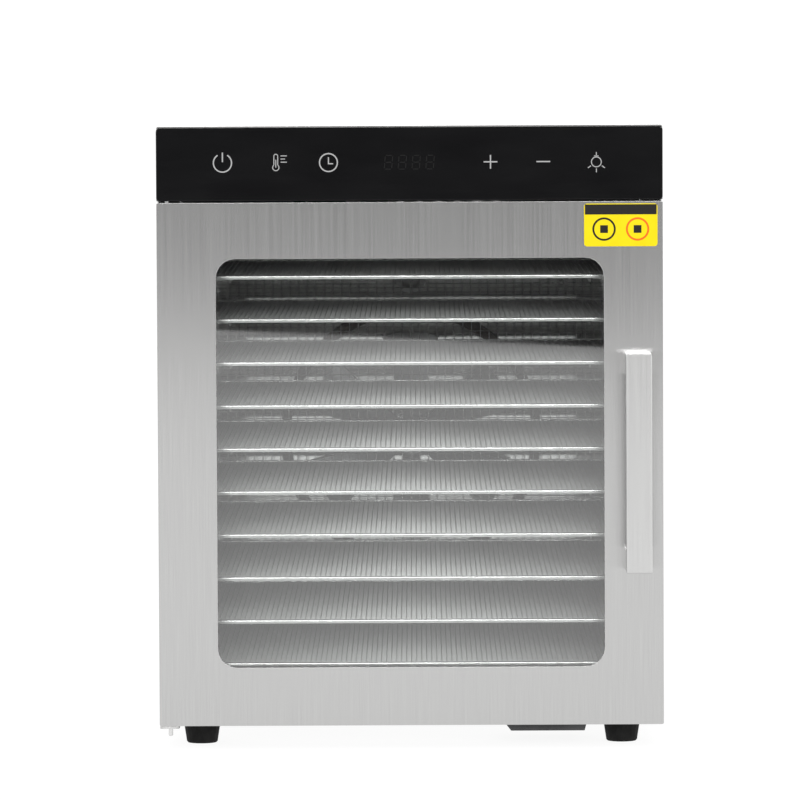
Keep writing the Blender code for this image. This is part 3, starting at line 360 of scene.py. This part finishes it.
def make_panel_glass():
    """Gloss black back-printed glass with faint clouds and wipe marks."""
    finish = Finish("black_panel_glass", roughness=0.05, specular=0.35)
    clouds = finish.grain((60 * MM, 60 * MM, 25 * MM))
    finish.colour(clouds, (0.0065, 0.0065, 0.007), (0.009, 0.009, 0.0095))
    wipes = finish.grain((30 * MM, 30 * MM, 6 * MM), detail=4.0)
    return finish.gloss(wipes, 0.03, 0.08).material


def make_door_glass():
    """Clear coated glass: its outer side mirrors a little of the room and lets the rest through."""
    material = bpy.data.materials.new("clear_door_glass")
    material.use_nodes = True
    nodes = material.node_tree.nodes
    links = material.node_tree.links
    nodes.remove(nodes["Principled BSDF"])
    place = nodes.new("ShaderNodeTexCoord")
    wipes = nodes.new("ShaderNodeTexNoise")
    wipes.inputs["Scale"].default_value = WIPES_PER_METRE
    wipes.inputs["Detail"].default_value = 4.0
    links.new(place.outputs["Object"], wipes.inputs["Vector"])
    smear = nodes.new("ShaderNodeMapRange")
    smear.inputs["To Max"].default_value = GLASS_SMEAR
    links.new(wipes.outputs[0], smear.inputs["Value"])
    mirror = nodes.new("ShaderNodeBsdfGlossy")
    mirror.inputs["Color"].default_value = (1.0, 1.0, 1.0, 1.0)
    links.new(smear.outputs[0], mirror.inputs["Roughness"])
    through = nodes.new("ShaderNodeBsdfTransparent")
    through.inputs["Color"].default_value = GLASS_TINT
    mirrored = nodes.new("ShaderNodeFresnel")
    mirrored.inputs["IOR"].default_value = GLASS_IOR
    outside = nodes.new("ShaderNodeMath")
    outside.operation = "SUBTRACT"
    outside.inputs[0].default_value = 1.0
    links.new(nodes.new("ShaderNodeNewGeometry").outputs["Backfacing"], outside.inputs[1])
    share = nodes.new("ShaderNodeMath")
    share.operation = "MULTIPLY"
    links.new(mirrored.outputs[0], share.inputs[0])
    links.new(outside.outputs[0], share.inputs[1])
    mixed = nodes.new("ShaderNodeMixShader")
    links.new(share.outputs[0], mixed.inputs[0])
    links.new(through.outputs[0], mixed.inputs[1])
    links.new(mirror.outputs[0], mixed.inputs[2])
    links.new(mixed.outputs[0], nodes["Material Output"].inputs["Surface"])
    return material


def make_lamp_glass():
    """Heat-proof lamp glass, faintly ribbed and warm."""
    finish = Finish("lamp_heatproof_glass", roughness=0.08)
    finish.colour(finish.grain((8 * MM, 8 * MM, 8 * MM)), (0.82, 0.80, 0.74), (0.90, 0.89, 0.85))
    finish.set("Transmission Weight", 0.7)
    finish.set("IOR", 1.47)
    return finish.relief(finish.grain((0.8 * MM, 0.8 * MM, 0.8 * MM)), 0.05 * MM).material


def make_ceramic():
    """Unglazed steatite with a fine gritty skin."""
    finish = Finish("unglazed_ceramic", roughness=0.6)
    speckle = finish.grain((2 * MM, 2 * MM, 2 * MM), detail=5.0)
    finish.colour(speckle, (0.70, 0.68, 0.61), (0.80, 0.78, 0.72))
    return finish.relief(finish.grain((0.3 * MM, 0.3 * MM, 0.3 * MM)), 0.03 * MM).material


def make_black_plastic():
    """Moulded matte black plastic with a spark-eroded texture."""
    finish = Finish("matte_black_plastic", roughness=0.5, specular=0.4)
    clouds = finish.grain((20 * MM, 20 * MM, 20 * MM))
    finish.colour(clouds, (0.014, 0.014, 0.014), (0.024, 0.024, 0.024))
    texture = finish.grain((0.35 * MM, 0.35 * MM, 0.35 * MM), detail=3.0)
    finish.gloss(texture, 0.42, 0.6)
    return finish.relief(texture, 0.025 * MM).material


def make_circuit_board():
    """Green solder mask with the tracks showing through."""
    finish = Finish("green_circuit_board", roughness=0.35)
    tracks = finish.grain((7 * MM, 7 * MM, 0.9 * MM), detail=1.0)
    finish.colour(tracks, (0.012, 0.09, 0.035), (0.03, 0.17, 0.07))
    return finish.relief(tracks, 0.03 * MM).material


def make_rubber():
    """Matte black rubber, slightly dusty."""
    finish = Finish("matte_foot_rubber", roughness=0.75, specular=0.15)
    dust = finish.grain((6 * MM, 6 * MM, 6 * MM), detail=4.0)
    finish.colour(dust, (0.005, 0.005, 0.005), (0.012, 0.012, 0.0115))
    return finish.relief(finish.grain((0.5 * MM, 0.5 * MM, 0.5 * MM)), 0.04 * MM).material


def make_silicone():
    """Grey extruded silicone seal."""
    finish = Finish("grey_seal_silicone", roughness=0.6)
    finish.colour(finish.grain((10 * MM, 10 * MM, 10 * MM)), (0.26, 0.26, 0.26), (0.33, 0.33, 0.33))
    return finish.relief(finish.grain((25 * MM, 0.6 * MM, 25 * MM)), 0.03 * MM).material


def make_aluminium():
    """Stamped aluminium sheet of the fan."""
    finish = Finish("stamped_aluminium", roughness=0.38, metallic=1.0)
    stamped = finish.grain((2 * MM, 2 * MM, 2 * MM), detail=4.0)
    finish.colour(stamped, (0.50, 0.505, 0.51), (0.62, 0.625, 0.63))
    finish.gloss(stamped, 0.32, 0.46)
    return finish.relief(stamped, 0.015 * MM).material


def make_brass():
    """Turned brass with fine tool marks."""
    finish = Finish("turned_brass", roughness=0.3, metallic=1.0)
    marks = finish.grain((4 * MM, 0.15 * MM, 4 * MM))
    finish.colour(marks, (0.62, 0.46, 0.22), (0.74, 0.57, 0.30))
    return finish.relief(marks, 0.01 * MM).material


def make_sticker_film():
    """Yellow vinyl film with a soft sheen."""
    finish = Finish("yellow_sticker_film", roughness=0.4, specular=0.12)
    finish.colour(finish.grain((12 * MM, 12 * MM, 12 * MM)), (0.82, 0.65, 0.002), (0.86, 0.69, 0.004))
    return finish.relief(finish.grain((0.7 * MM, 0.7 * MM, 0.7 * MM)), 0.008 * MM).material


def make_ink(name, dark, light):
    """A printed ink with a slightly uneven lay."""
    finish = Finish(name, roughness=0.45, specular=0.12)
    lay = finish.grain((0.5 * MM, 0.5 * MM, 0.5 * MM), detail=3.0)
    finish.colour(lay, dark, light)
    return finish.relief(lay, 0.004 * MM).material


# The record's material slot of each CAD node, from the plain material that it comes with
NODE_SLOTS = {name: node.data.materials[0].name.split(".")[0] for name, node in NODES.items()}

SLOT_MATERIALS = {
    "case_steel": make_case_steel(),
    "inner_steel": make_inner_steel(),
    "bright_steel": make_bright_steel(),
    "tray_steel": make_woven_steel(),
    "dark_steel": make_dark_steel(),
    "panel_glass": make_panel_glass(),
    "clear_glass": make_door_glass(),
    "lamp_glass": make_lamp_glass(),
    "ceramic": make_ceramic(),
    "black_plastic": make_black_plastic(),
    "circuit_board": make_circuit_board(),
    "rubber": make_rubber(),
    "silicone": make_silicone(),
    "aluminium": make_aluminium(),
    "brass": make_brass(),
    "sticker_film": make_sticker_film(),
}


def dress_nodes():
    """Swap every CAD node's plain material for the finish of its slot."""
    for name, node in NODES.items():
        node.data.materials[0] = SLOT_MATERIALS[NODE_SLOTS[name]]
    NODES["heater_element"].data.materials[0] = make_heater_steel()
    NODES["rear_bulkhead"].data.materials[0] = make_polished_steel()
    NODES["door_handle"].data.materials[0] = make_handle_steel()


# ---------------------------------------------------------------- geometry helpers

def add_piece(name, mesh, material, stands_for=()):
    """Link a mesh as a piece, with its finish and the CAD nodes that it stands for."""
    piece = bpy.data.objects.new(name, mesh)
    bpy.context.scene.collection.objects.link(piece)
    if not mesh.materials:
        mesh.materials.append(material)
    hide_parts(*stands_for)
    return piece


def mesh_from(name, points, faces, sharp=35):
    """A mesh with its faces turned outwards, smooth but for edges sharper than this many degrees."""
    mesh = bpy.data.meshes.new(name)
    mesh.from_pydata(points, [], faces)
    shape = bmesh.new()
    shape.from_mesh(mesh)
    bmesh.ops.recalc_face_normals(shape, faces=shape.faces)
    shape.to_mesh(mesh)
    shape.free()
    mesh.shade_smooth()
    mesh.set_sharp_from_angle(angle=radians(sharp))
    return mesh


def rounded(low, high, radius, steps):
    """Outline of a rectangle with rounded corners, as 2-D points."""
    centres = (
        (high[0] - radius, high[1] - radius, 0),
        (low[0] + radius, high[1] - radius, 1),
        (low[0] + radius, low[1] + radius, 2),
        (high[0] - radius, low[1] + radius, 3),
    )
    outline = []
    for across, up, quarter in centres:
        for step in range(steps + 1):
            angle = (quarter + step / steps) * pi / 2
            outline.append((across + radius * cos(angle), up + radius * sin(angle)))
    return outline


def ring_of_loops(loops):
    """Points and quads of a band that closes on itself both ways."""
    count = len(loops[0])
    points = [point for loop in loops for point in loop]
    faces = []
    for row in range(len(loops)):
        here = row * count
        there = (row + 1) % len(loops) * count
        for index in range(count):
            after = (index + 1) % count
            faces.append((here + index, here + after, there + after, there + index))
    return points, faces


def eased_copy(name):
    """A copy of a CAD node with every hard edge rounded off. It stands for the node."""
    node = NODES[name]
    mesh = bpy.data.meshes.new(f"{name}_eased")
    shape = bmesh.new()
    shape.from_mesh(node.data)
    bmesh.ops.remove_doubles(shape, verts=shape.verts, dist=WELD)
    bmesh.ops.dissolve_limit(
        shape, angle_limit=FLAT_ANGLE, verts=shape.verts, edges=shape.edges,
        use_dissolve_boundaries=False)
    bmesh.ops.recalc_face_normals(shape, faces=shape.faces)
    shape.to_mesh(mesh)
    shape.free()
    if "custom_normal" in mesh.attributes:
        mesh.attributes.remove(mesh.attributes["custom_normal"])
    mesh.shade_smooth()
    slot = NODE_SLOTS[name]
    piece = add_piece(f"{name}_eased", mesh, SLOT_MATERIALS[slot], (name,))
    edge = piece.modifiers.new("eased_edges", "BEVEL")
    edge.width = EDGE_RADIUS
    edge.segments = EDGE_SEGMENTS
    edge.limit_method = "ANGLE"
    edge.angle_limit = EDGE_ANGLE
    shading = piece.modifiers.new("flat_faces_stay_flat", "WEIGHTED_NORMAL")
    shading.weight = 100
    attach(piece, node["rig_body"])


# ---------------------------------------------------------------- trays

def row_of_wires(along, across, swing, radius, sides, swap):
    """Round wires side by side that run along X, or Y, and swing over and under at each station."""
    stations = len(along)
    turns = np.array([tau * (side + WIRE_TURN) / sides for side in range(sides)])
    wires = len(across)
    alternate = (-1.0) ** (np.arange(wires)[:, None] + np.arange(stations)[None, :])
    centre = swing * alternate
    points = np.zeros((wires, stations, sides, 3))
    points[..., 0] = along[None, :, None]
    points[..., 1] = across[:, None, None] + radius * np.cos(turns)[None, None, :]
    points[..., 2] = centre[:, :, None] + radius * np.sin(turns)[None, None, :]
    if swap:
        points[..., [0, 1]] = points[..., [1, 0]]
    index = np.arange(wires * stations * sides).reshape(wires, stations, sides)
    here = index[:, :-1, :]
    there = index[:, 1:, :]
    turned = np.roll(index, -1, axis=2)
    quads = np.stack([here, turned[:, :-1, :], turned[:, 1:, :], there], axis=-1).reshape(-1, 4)
    caps = np.concatenate([index[:, 0, :], index[:, -1, ::-1]])
    return points.reshape(-1, 3), quads.tolist(), caps.tolist()


def woven_sheet(low, high):
    """Points and faces of a plain weave that fills a rectangle about Z = 0."""
    count_x = int((high[0] - low[0]) / WIRE_PITCH)
    count_y = int((high[1] - low[1]) / WIRE_PITCH)
    places_x = np.linspace(low[0], high[0], count_x + 1)
    places_y = np.linspace(low[1], high[1], count_y + 1)
    points, quads, caps = row_of_wires(
        places_x[[0, -1]], places_y, 0.0, CROSS_RADIUS, WIRE_SIDES, swap=False)
    more, more_quads, more_caps = row_of_wires(
        places_y, places_x, RIB_WAVE, RIB_RADIUS, WIRE_SIDES, swap=True)
    shift = len(points)
    faces = quads + caps
    faces += [[shift + corner for corner in face] for face in more_quads + more_caps]
    return np.concatenate([points, more]).tolist(), faces


RIM_PROFILE = (                       # mm inwards from the tray's edge, and up from its middle
    (0.00, -0.95), (0.00, -0.25), (0.55, -0.10), (0.55, 0.20), (0.00, 0.35), (0.00, 0.95),
    (0.08, 1.12), (0.25, 1.20), (4.75, 1.20), (4.92, 1.12), (5.00, 0.95), (5.00, -0.95),
    (4.92, -1.12), (4.75, -1.20), (0.25, -1.20), (0.08, -1.12),
)


def rim_band(low, high):
    """Points and faces of the folded rim: two lips with a groove between them."""
    loops = []
    for inwards, up in RIM_PROFILE:
        inset = inwards * MM
        outline = rounded(
            (low[0] + inset, low[1] + inset), (high[0] - inset, high[1] - inset),
            RIM_CORNER - inset, RIM_CORNER_STEPS)
        loops.append([(x, y, up * MM) for x, y in outline])
    return ring_of_loops(loops)


def make_trays():
    """Ten woven trays in folded rims, one on each tray body."""
    low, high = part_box("tray_01")
    hidden = RIM_WIDE - SHEET_TUCK
    sheet_points, sheet_faces = woven_sheet(
        (low.x + hidden, low.y + hidden), (high.x - hidden, high.y - hidden))
    sheet = mesh_from("woven_sheet", sheet_points, sheet_faces, sharp=180)
    band = mesh_from("folded_rim", *rim_band(low, high))
    rim_steel = make_rim_steel()
    for number in range(1, TRAY_COUNT + 1):
        node = f"tray_{number:02d}"
        node_low, node_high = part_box(node)
        level = (node_low.z + node_high.z) / 2
        body = f"tray_body_{number:02d}"
        parts = (("sheet", sheet, SLOT_MATERIALS["tray_steel"]), ("rim", band, rim_steel))
        for label, mesh, steel in parts:
            piece = add_piece(f"{node}_{label}", mesh, steel, (node,))
            piece.location.z = level
            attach(piece, body)


# ---------------------------------------------------------------- fan guard

def straight_bar(points, faces, start, end, across, up):
    """Add a straight round wire to a mesh's points and faces."""
    first = len(points)
    for centre in (start, end):
        for side in range(GUARD_SIDES):
            turn = tau * side / GUARD_SIDES
            points.append(centre + across * (GUARD_WIRE * cos(turn)) + up * (GUARD_WIRE * sin(turn)))
    for side in range(GUARD_SIDES):
        here = first + side
        after = first + (side + 1) % GUARD_SIDES
        faces.append((here, after, after + GUARD_SIDES, here + GUARD_SIDES))
    faces.append(tuple(range(first, first + GUARD_SIDES)))
    faces.append(tuple(range(first + GUARD_SIDES, first + 2 * GUARD_SIDES)))


def make_fan_guard():
    """Welded wire grid, with a second wire beside the middle upright."""
    low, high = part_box("fan_guard")
    right = np.arange(0, high.x - GUARD_WIRE, GUARD_PITCH)
    edges = [DOUBLE_WIRE, low.x + GUARD_WIRE, high.x - GUARD_WIRE]
    uprights = np.concatenate([-right[:0:-1], right, edges])
    levels = np.arange(low.z + GUARD_WIRE, high.z - GUARD_WIRE, GUARD_PITCH)
    levels = np.concatenate([levels, [high.z - GUARD_WIRE]])
    front = low.y + GUARD_WIRE
    back = high.y - GUARD_WIRE
    east, north, up = Vector((1, 0, 0)), Vector((0, 1, 0)), Vector((0, 0, 1))
    points = []
    faces = []
    for x in uprights:
        foot = Vector((x, front, low.z))
        top = Vector((x, front, high.z))
        straight_bar(points, faces, foot, top, east, north)
    for z in levels:
        left_end = Vector((low.x, back, z))
        right_end = Vector((high.x, back, z))
        straight_bar(points, faces, left_end, right_end, north, up)
    mesh = mesh_from("fan_guard_grid", points, faces)
    steel = SLOT_MATERIALS["bright_steel"]
    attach(add_piece("fan_guard_grid", mesh, steel, ("fan_guard",)), "cabinet")


# ---------------------------------------------------------------- printed marks

class Print:
    """Flat ink shapes on an upright face, gathered into one mesh."""

    def __init__(self, face_y):
        self.back = face_y
        self.front = face_y - INK
        self.points = []
        self.faces = []

    def band(self, left, right, closed=False):
        """Ink between two lines of points."""
        count = len(left)
        first = len(self.points)
        for level in (self.front, self.back):
            for line in (left, right):
                self.points += [(x, level, z) for x, z in line]
        spans = count if closed else count - 1
        for index in range(spans):
            after = (index + 1) % count
            corners = [row * count + place for row in (0, 1, 2, 3) for place in (index, after)]
            a, b, c, d, e, f, g, h = (first + corner for corner in corners)
            self.faces += [(a, b, d, c), (e, g, h, f), (a, e, f, b), (c, d, h, g)]
        if not closed:
            for place in (0, count - 1):
                a, b, c, d = (first + row * count + place for row in (0, 1, 3, 2))
                self.faces.append((a, b, c, d))

    def stroke(self, line, width, closed=False):
        """Ink of even width along a line of 2-D points."""
        spots = [Vector(point) for point in line]
        count = len(spots)
        left = []
        right = []
        for index, spot in enumerate(spots):
            before = spots[index - 1] if closed or index else spot
            after = spots[(index + 1) % count] if closed or index < count - 1 else spot
            ways = [way.normalized() for way in (spot - before, after - spot) if way.length > 0]
            way = sum(ways, Vector((0, 0))).normalized()
            reach = width / 2 / max(way.dot(ways[0]), SHARPEST_MITRE)
            side = Vector((-way.y, way.x)) * reach
            left.append(spot + side)
            right.append(spot - side)
        self.band(left, right, closed)

    def arc(self, centre, radius, width, start=0.0, end=360.0, steps=40):
        """Ink along part of a circle, in degrees from the right, anticlockwise."""
        full = end - start >= 360.0
        stops = steps if full else steps + 1
        turns = [radians(start + (end - start) * step / steps) for step in range(stops)]
        line = [(centre[0] + radius * cos(turn), centre[1] + radius * sin(turn)) for turn in turns]
        self.stroke(line, width, closed=full)

    def patch(self, low, high):
        """A filled rectangle."""
        self.band([(low[0], low[1]), (high[0], low[1])], [(low[0], high[1]), (high[0], high[1])])

    def finish(self, name, body, slot, material):
        """Turn the shapes into one piece."""
        mesh = mesh_from(name, self.points, self.faces)
        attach(add_piece(name, mesh, material), body)


def draw_power(ink, x, z):
    """A ring with a gap at the top and a bar in it."""
    ink.arc((x, z), POWER_RADIUS, STROKE, *POWER_RUN)
    ink.stroke([(x, z + up) for up in POWER_BAR], STROKE)


def draw_thermometer(ink, x, z):
    """A bulb and a stem with three ticks."""
    ink.arc((x, z - WELL_DROP), WELL_RADIUS, THIN_STROKE, *WELL_RUN)
    for side in (-1, 1):
        wall = x + side * STEM_HALF
        ink.stroke([(wall, z + STEM_FOOT), (wall, z + STEM_TOP)], THIN_STROKE)
    ink.arc((x, z + STEM_CAP), STEM_HALF, THIN_STROKE, start=0, end=180, steps=16)
    ink.stroke([(x, z - WELL_DROP), (x, z + COLUMN_TOP)], THIN_STROKE)
    for tick, length in enumerate(TICK_LENGTHS):
        level = z + STEM_TOP - TICK_PITCH * tick
        ink.stroke([(x + TICK_IN, level), (x + TICK_IN + length, level)], THIN_STROKE)


def draw_clock(ink, x, z):
    """A ring with two hands."""
    ink.arc((x, z), CLOCK_RADIUS, STROKE)
    pivot = z - HANDS_DROP
    ink.stroke([(x, z + HAND_UP), (x, pivot), (x + HAND_RIGHT, pivot)], HAND_WIDTH)


def draw_lamp(ink, x, z):
    """A small bulb with a neck above it and three rays below."""
    bulb = z - BULB_DROP
    neck = bulb + BULB_NECK
    ink.arc((x, bulb), BULB_RADIUS, THIN_STROKE)
    ink.stroke([(x - NECK_HALF, neck), (x + NECK_HALF, neck)], THIN_STROKE)
    ink.stroke([(x, neck), (x, neck + NECK_STEM)], THIN_STROKE)
    for angle in BULB_RAYS:
        turn = radians(angle)
        ray = [(x + reach * cos(turn), bulb + reach * sin(turn)) for reach in RAY_REACH]
        ink.stroke(ray, THIN_STROKE)


def digit_spot(centre, level, across, up):
    """The place in a leaning digit that is this share of its half width and half height off its centre."""
    lean = up * DIGIT_HALF_HIGH * DIGIT_LEAN
    return (centre + across * DIGIT_HALF_WIDE + lean, level + up * DIGIT_HALF_HIGH)


def draw_digits(ink, middle, level):
    """Unlit seven-segment digits."""
    for number in range(DIGIT_COUNT):
        centre = middle + (number - (DIGIT_COUNT - 1) / 2) * DIGIT_PITCH
        for up in (-1, 0, 1):
            ends = [digit_spot(centre, level, side * SEGMENT_ACROSS, up) for side in (-1, 1)]
            ink.stroke(ends, THIN_STROKE)
        for side in (-1, 1):
            for foot in (-1, 0):
                ups = (foot + SEGMENT_GAP, foot + 1 - SEGMENT_GAP)
                ends = [digit_spot(centre, level, side, up) for up in ups]
                ink.stroke(ends, THIN_STROKE)


def draw_plus_and_minus(ink, level):
    """A level bar on each key, and two upright halves that meet the first one."""
    for x in (PLUS_X, MINUS_X):
        ink.stroke([(x - PLUS_HALF, level), (x + PLUS_HALF, level)], STROKE)
    for side in (-1, 1):
        start = level + side * STROKE / 2
        ink.stroke([(PLUS_X, start), (PLUS_X, level + side * PLUS_HALF)], STROKE)


def make_panel_marks():
    """Touch-key symbols and the display's unlit digits on the control glass."""
    glass_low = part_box("control_glass")[0]
    level = glass_low.z + KEYS_UP
    keys = Print(glass_low.y)
    draw_power(keys, POWER_X, level)
    draw_thermometer(keys, THERMOMETER_X, level)
    draw_clock(keys, CLOCK_X, level)
    draw_plus_and_minus(keys, level)
    draw_lamp(keys, LAMP_X, level)
    white = make_ink("white_key_ink", (0.36, 0.36, 0.36), (0.43, 0.43, 0.43))
    keys.finish("key_symbols", "cabinet", "panel_glass", white)
    digits = Print(glass_low.y)
    draw_digits(digits, 0.0, level)
    smoke = make_ink("unlit_segment_ink", (0.004, 0.004, 0.004), (0.007, 0.007, 0.007))
    digits.finish("display_digits", "cabinet", "panel_glass", smoke)


def make_sticker_marks():
    """Plain band and two ringed blocks on the yellow sticker, without lettering or signs."""
    low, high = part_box("door_sticker")
    black = Print(low.y)
    black.patch((low.x + STICKER_EDGE, low.z + BAND_UP), (high.x - STICKER_EDGE, high.z - STICKER_EDGE))
    orange = Print(low.y)
    level = low.z + RING_UP
    for ring, x in ((black, low.x + RING_IN), (orange, high.x - RING_IN)):
        ring.arc((x, level), RING_RADIUS, RING_WIDTH)
        black.patch((x - RING_BLOCK, level - RING_BLOCK), (x + RING_BLOCK, level + RING_BLOCK))
    ink = make_ink("black_sticker_ink", (0.012, 0.011, 0.010), (0.022, 0.020, 0.018))
    black.finish("sticker_black", "door", "sticker_film", ink)
    flame = make_ink("orange_sticker_ink", (0.78, 0.13, 0.01), (0.86, 0.18, 0.02))
    orange.finish("sticker_orange", "door", "sticker_film", flame)


# ---------------------------------------------------------------- screws on the back

def screw_head_shape():
    """Points and faces of a low domed head, turned about Y."""
    turns = [tau * step / SCREW_STEPS for step in range(SCREW_STEPS)]
    points = []
    for share, lift in SCREW_PROFILE:
        reach = SCREW_RADIUS * share
        points += [(reach * cos(turn), SCREW_HEIGHT * lift, reach * sin(turn)) for turn in turns]
    faces = [tuple(range(SCREW_STEPS)), tuple(range(len(points) - SCREW_STEPS, len(points)))]
    for row in range(len(SCREW_PROFILE) - 1):
        here = row * SCREW_STEPS
        there = here + SCREW_STEPS
        for index in range(SCREW_STEPS):
            after = (index + 1) % SCREW_STEPS
            faces.append((here + index, here + after, there + after, there + index))
    return points, faces


def painted_recess_shape():
    """Points and faces of a solid cross-shaped block that sits in the top of a screw head and reaches just
    above it; with its dark finish it is painted shade standing in for a hollow recess.
    """
    half, long = CROSS_HALF, CROSS_LONG
    outline = [
        (half, half), (half, long), (-half, long), (-half, half), (-long, half), (-long, -half),
        (-half, -half), (-half, -long), (half, -long), (half, -half), (long, -half), (long, half),
    ]
    count = len(outline)
    points = [(x, SCREW_HEIGHT * lift, z) for lift in CROSS_LEVELS for x, z in outline]
    faces = [tuple(range(count)), tuple(range(count, 2 * count))]
    for index in range(count):
        after = (index + 1) % count
        faces.append((index, after, count + after, count + index))
    return points, faces


def make_screws():
    """Pan-head screws along the top and bottom of the rear panel, each with its cross recess as painted
    shade: a dark solid cross instead of a hollow.
    """
    head = mesh_from("screw_head", *screw_head_shape())
    cross = mesh_from("screw_cross", *painted_recess_shape())
    # the recess is a solid cross in dark coated steel: painted shade where a real hollow recess would fall
    # into shadow
    parts = (
        ("head", head, SLOT_MATERIALS["bright_steel"]),
        ("recess", cross, SLOT_MATERIALS["dark_steel"]),
    )
    low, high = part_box("rear_panel")
    across = (low.x + SCREW_INSET, 0.0, high.x - SCREW_INSET)
    levels = (low.z + SCREW_INSET, high.z - SCREW_INSET)
    spots = [(x, high.y, z) for x in across for z in levels]
    for number, spot in enumerate(spots, 1):
        for label, mesh, material in parts:
            piece = add_piece(f"rear_screw_{number}_{label}", mesh, material)
            piece.location = spot
            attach(piece, "cabinet")


# ---------------------------------------------------------------- studio

def make_paper(name, tone, glow):
    """Paper of the studio: matte, with a soft glow and a faint tooth."""
    finish = Finish(name, roughness=0.9, specular=0.0)
    tooth = finish.grain((4 * MM, 4 * MM, 4 * MM))
    finish.colour(tooth, [tone * 0.99] * 3, [tone] * 3)
    finish.set("Emission Color", (1.0, 1.0, 1.0, 1.0))
    finish.set("Emission Strength", glow)
    return finish.material


def add_sheet(name, corners, material):
    """A flat sheet of the studio, from its corners."""
    mesh = bpy.data.meshes.new(name)
    mesh.from_pydata(corners, [], [tuple(range(len(corners)))])
    mesh.materials.append(material)
    sheet = bpy.data.objects.new(name, mesh)
    bpy.context.scene.collection.objects.link(sheet)


def make_sheets():
    """White floor, and a dark flag far in front that the glass and the steel mirror."""
    far = FLOOR_REACH
    white = make_paper("studio_white", FLOOR_TONE, FLOOR_GLOW)
    add_sheet("studio_floor", [(-far, -far, 0), (far, -far, 0), (far, far, 0), (-far, far, 0)], white)
    dark = make_paper("studio_flag", FLAG_TONE, 0.0)
    lift = 1 * MM
    add_sheet("studio_floor_flag", [
        (-FLAG_HALF_NEAR, FLAG_NEAR - FLAG_SLANT, lift), (-FLAG_HALF_FAR, FLAG_FAR, lift),
        (FLAG_HALF_FAR, FLAG_FAR, lift), (FLAG_HALF_NEAR, FLAG_NEAR + FLAG_SLANT, lift)], dark)
    add_sheet("studio_upright_flag", [
        (-FLAG_HALF_FAR, FLAG_FAR, 0), (FLAG_HALF_FAR, FLAG_FAR, 0),
        (FLAG_HALF_FAR, FLAG_FAR, FLAG_HIGH), (-FLAG_HALF_FAR, FLAG_FAR, FLAG_HIGH)], dark)


def make_light():
    """A wide soft light, far in front and above the camera, that reaches between the trays."""
    soft = bpy.data.lights.new("soft_front_light", "AREA")
    soft.shape = "RECTANGLE"
    soft.size, soft.size_y = LIGHT_SIZE
    soft.energy = LIGHT_WATTS
    lamp = bpy.data.objects.new("soft_front_light", soft)
    bpy.context.scene.collection.objects.link(lamp)
    lamp.location = LIGHT_AT
    aim = Vector(LIGHT_AIM) - lamp.location
    lamp.rotation_mode = "QUATERNION"
    lamp.rotation_quaternion = aim.to_track_quat("-Z", "Y")


def make_world():
    """White surround, brighter behind the object than in front of it."""
    world = bpy.data.worlds.new("studio_world")
    world.use_nodes = True
    bpy.context.scene.world = world
    nodes = world.node_tree.nodes
    links = world.node_tree.links
    background = nodes["Background"]
    background.inputs["Color"].default_value = (1.0, 1.0, 1.0, 1.0)
    way = nodes.new("ShaderNodeTexCoord")
    split = nodes.new("ShaderNodeSeparateXYZ")
    rise = nodes.new("ShaderNodeMapRange")
    rise.inputs["From Min"].default_value = WORLD_TURN[0]
    rise.inputs["From Max"].default_value = WORLD_TURN[1]
    rise.inputs["To Min"].default_value = WORLD_FRONT
    rise.inputs["To Max"].default_value = WORLD_BACK
    links.new(way.outputs["Generated"], split.inputs[0])
    links.new(split.outputs["Y"], rise.inputs["Value"])
    links.new(rise.outputs[0], background.inputs["Strength"])


def make_camera():
    """Long lens from a little above, square to the door."""
    pitch, turn, roll = CAMERA_PITCH, CAMERA_TURN, CAMERA_ROLL
    right = Vector((cos(turn), sin(turn), 0))
    ahead = Vector((-sin(turn) * cos(pitch), cos(turn) * cos(pitch), -sin(pitch)))
    up = right.cross(ahead)
    rolled_right = right * cos(roll) + up * sin(roll)
    rolled_up = up * cos(roll) - right * sin(roll)
    data = bpy.data.cameras.new("studio_camera")
    data.lens = CAMERA_LENS
    data.sensor_width = CAMERA_SENSOR
    data.clip_start, data.clip_end = CAMERA_CLIP
    camera = bpy.data.objects.new("studio_camera", data)
    bpy.context.scene.collection.objects.link(camera)
    axes = Matrix((rolled_right, rolled_up, -ahead)).transposed()
    camera.matrix_world = Matrix.Translation(CAMERA_AT) @ axes.to_4x4()
    bpy.context.scene.camera = camera
    bpy.context.scene.view_settings.view_transform = "Standard"


def main():
    """Dress the frame, add the pieces, then the studio and the camera."""
    dress_nodes()
    make_trays()
    make_fan_guard()
    make_panel_marks()
    make_sticker_marks()
    make_screws()
    for name in EASED_NODES:
        eased_copy(name)
    make_sheets()
    make_light()
    make_world()
    make_camera()


main()
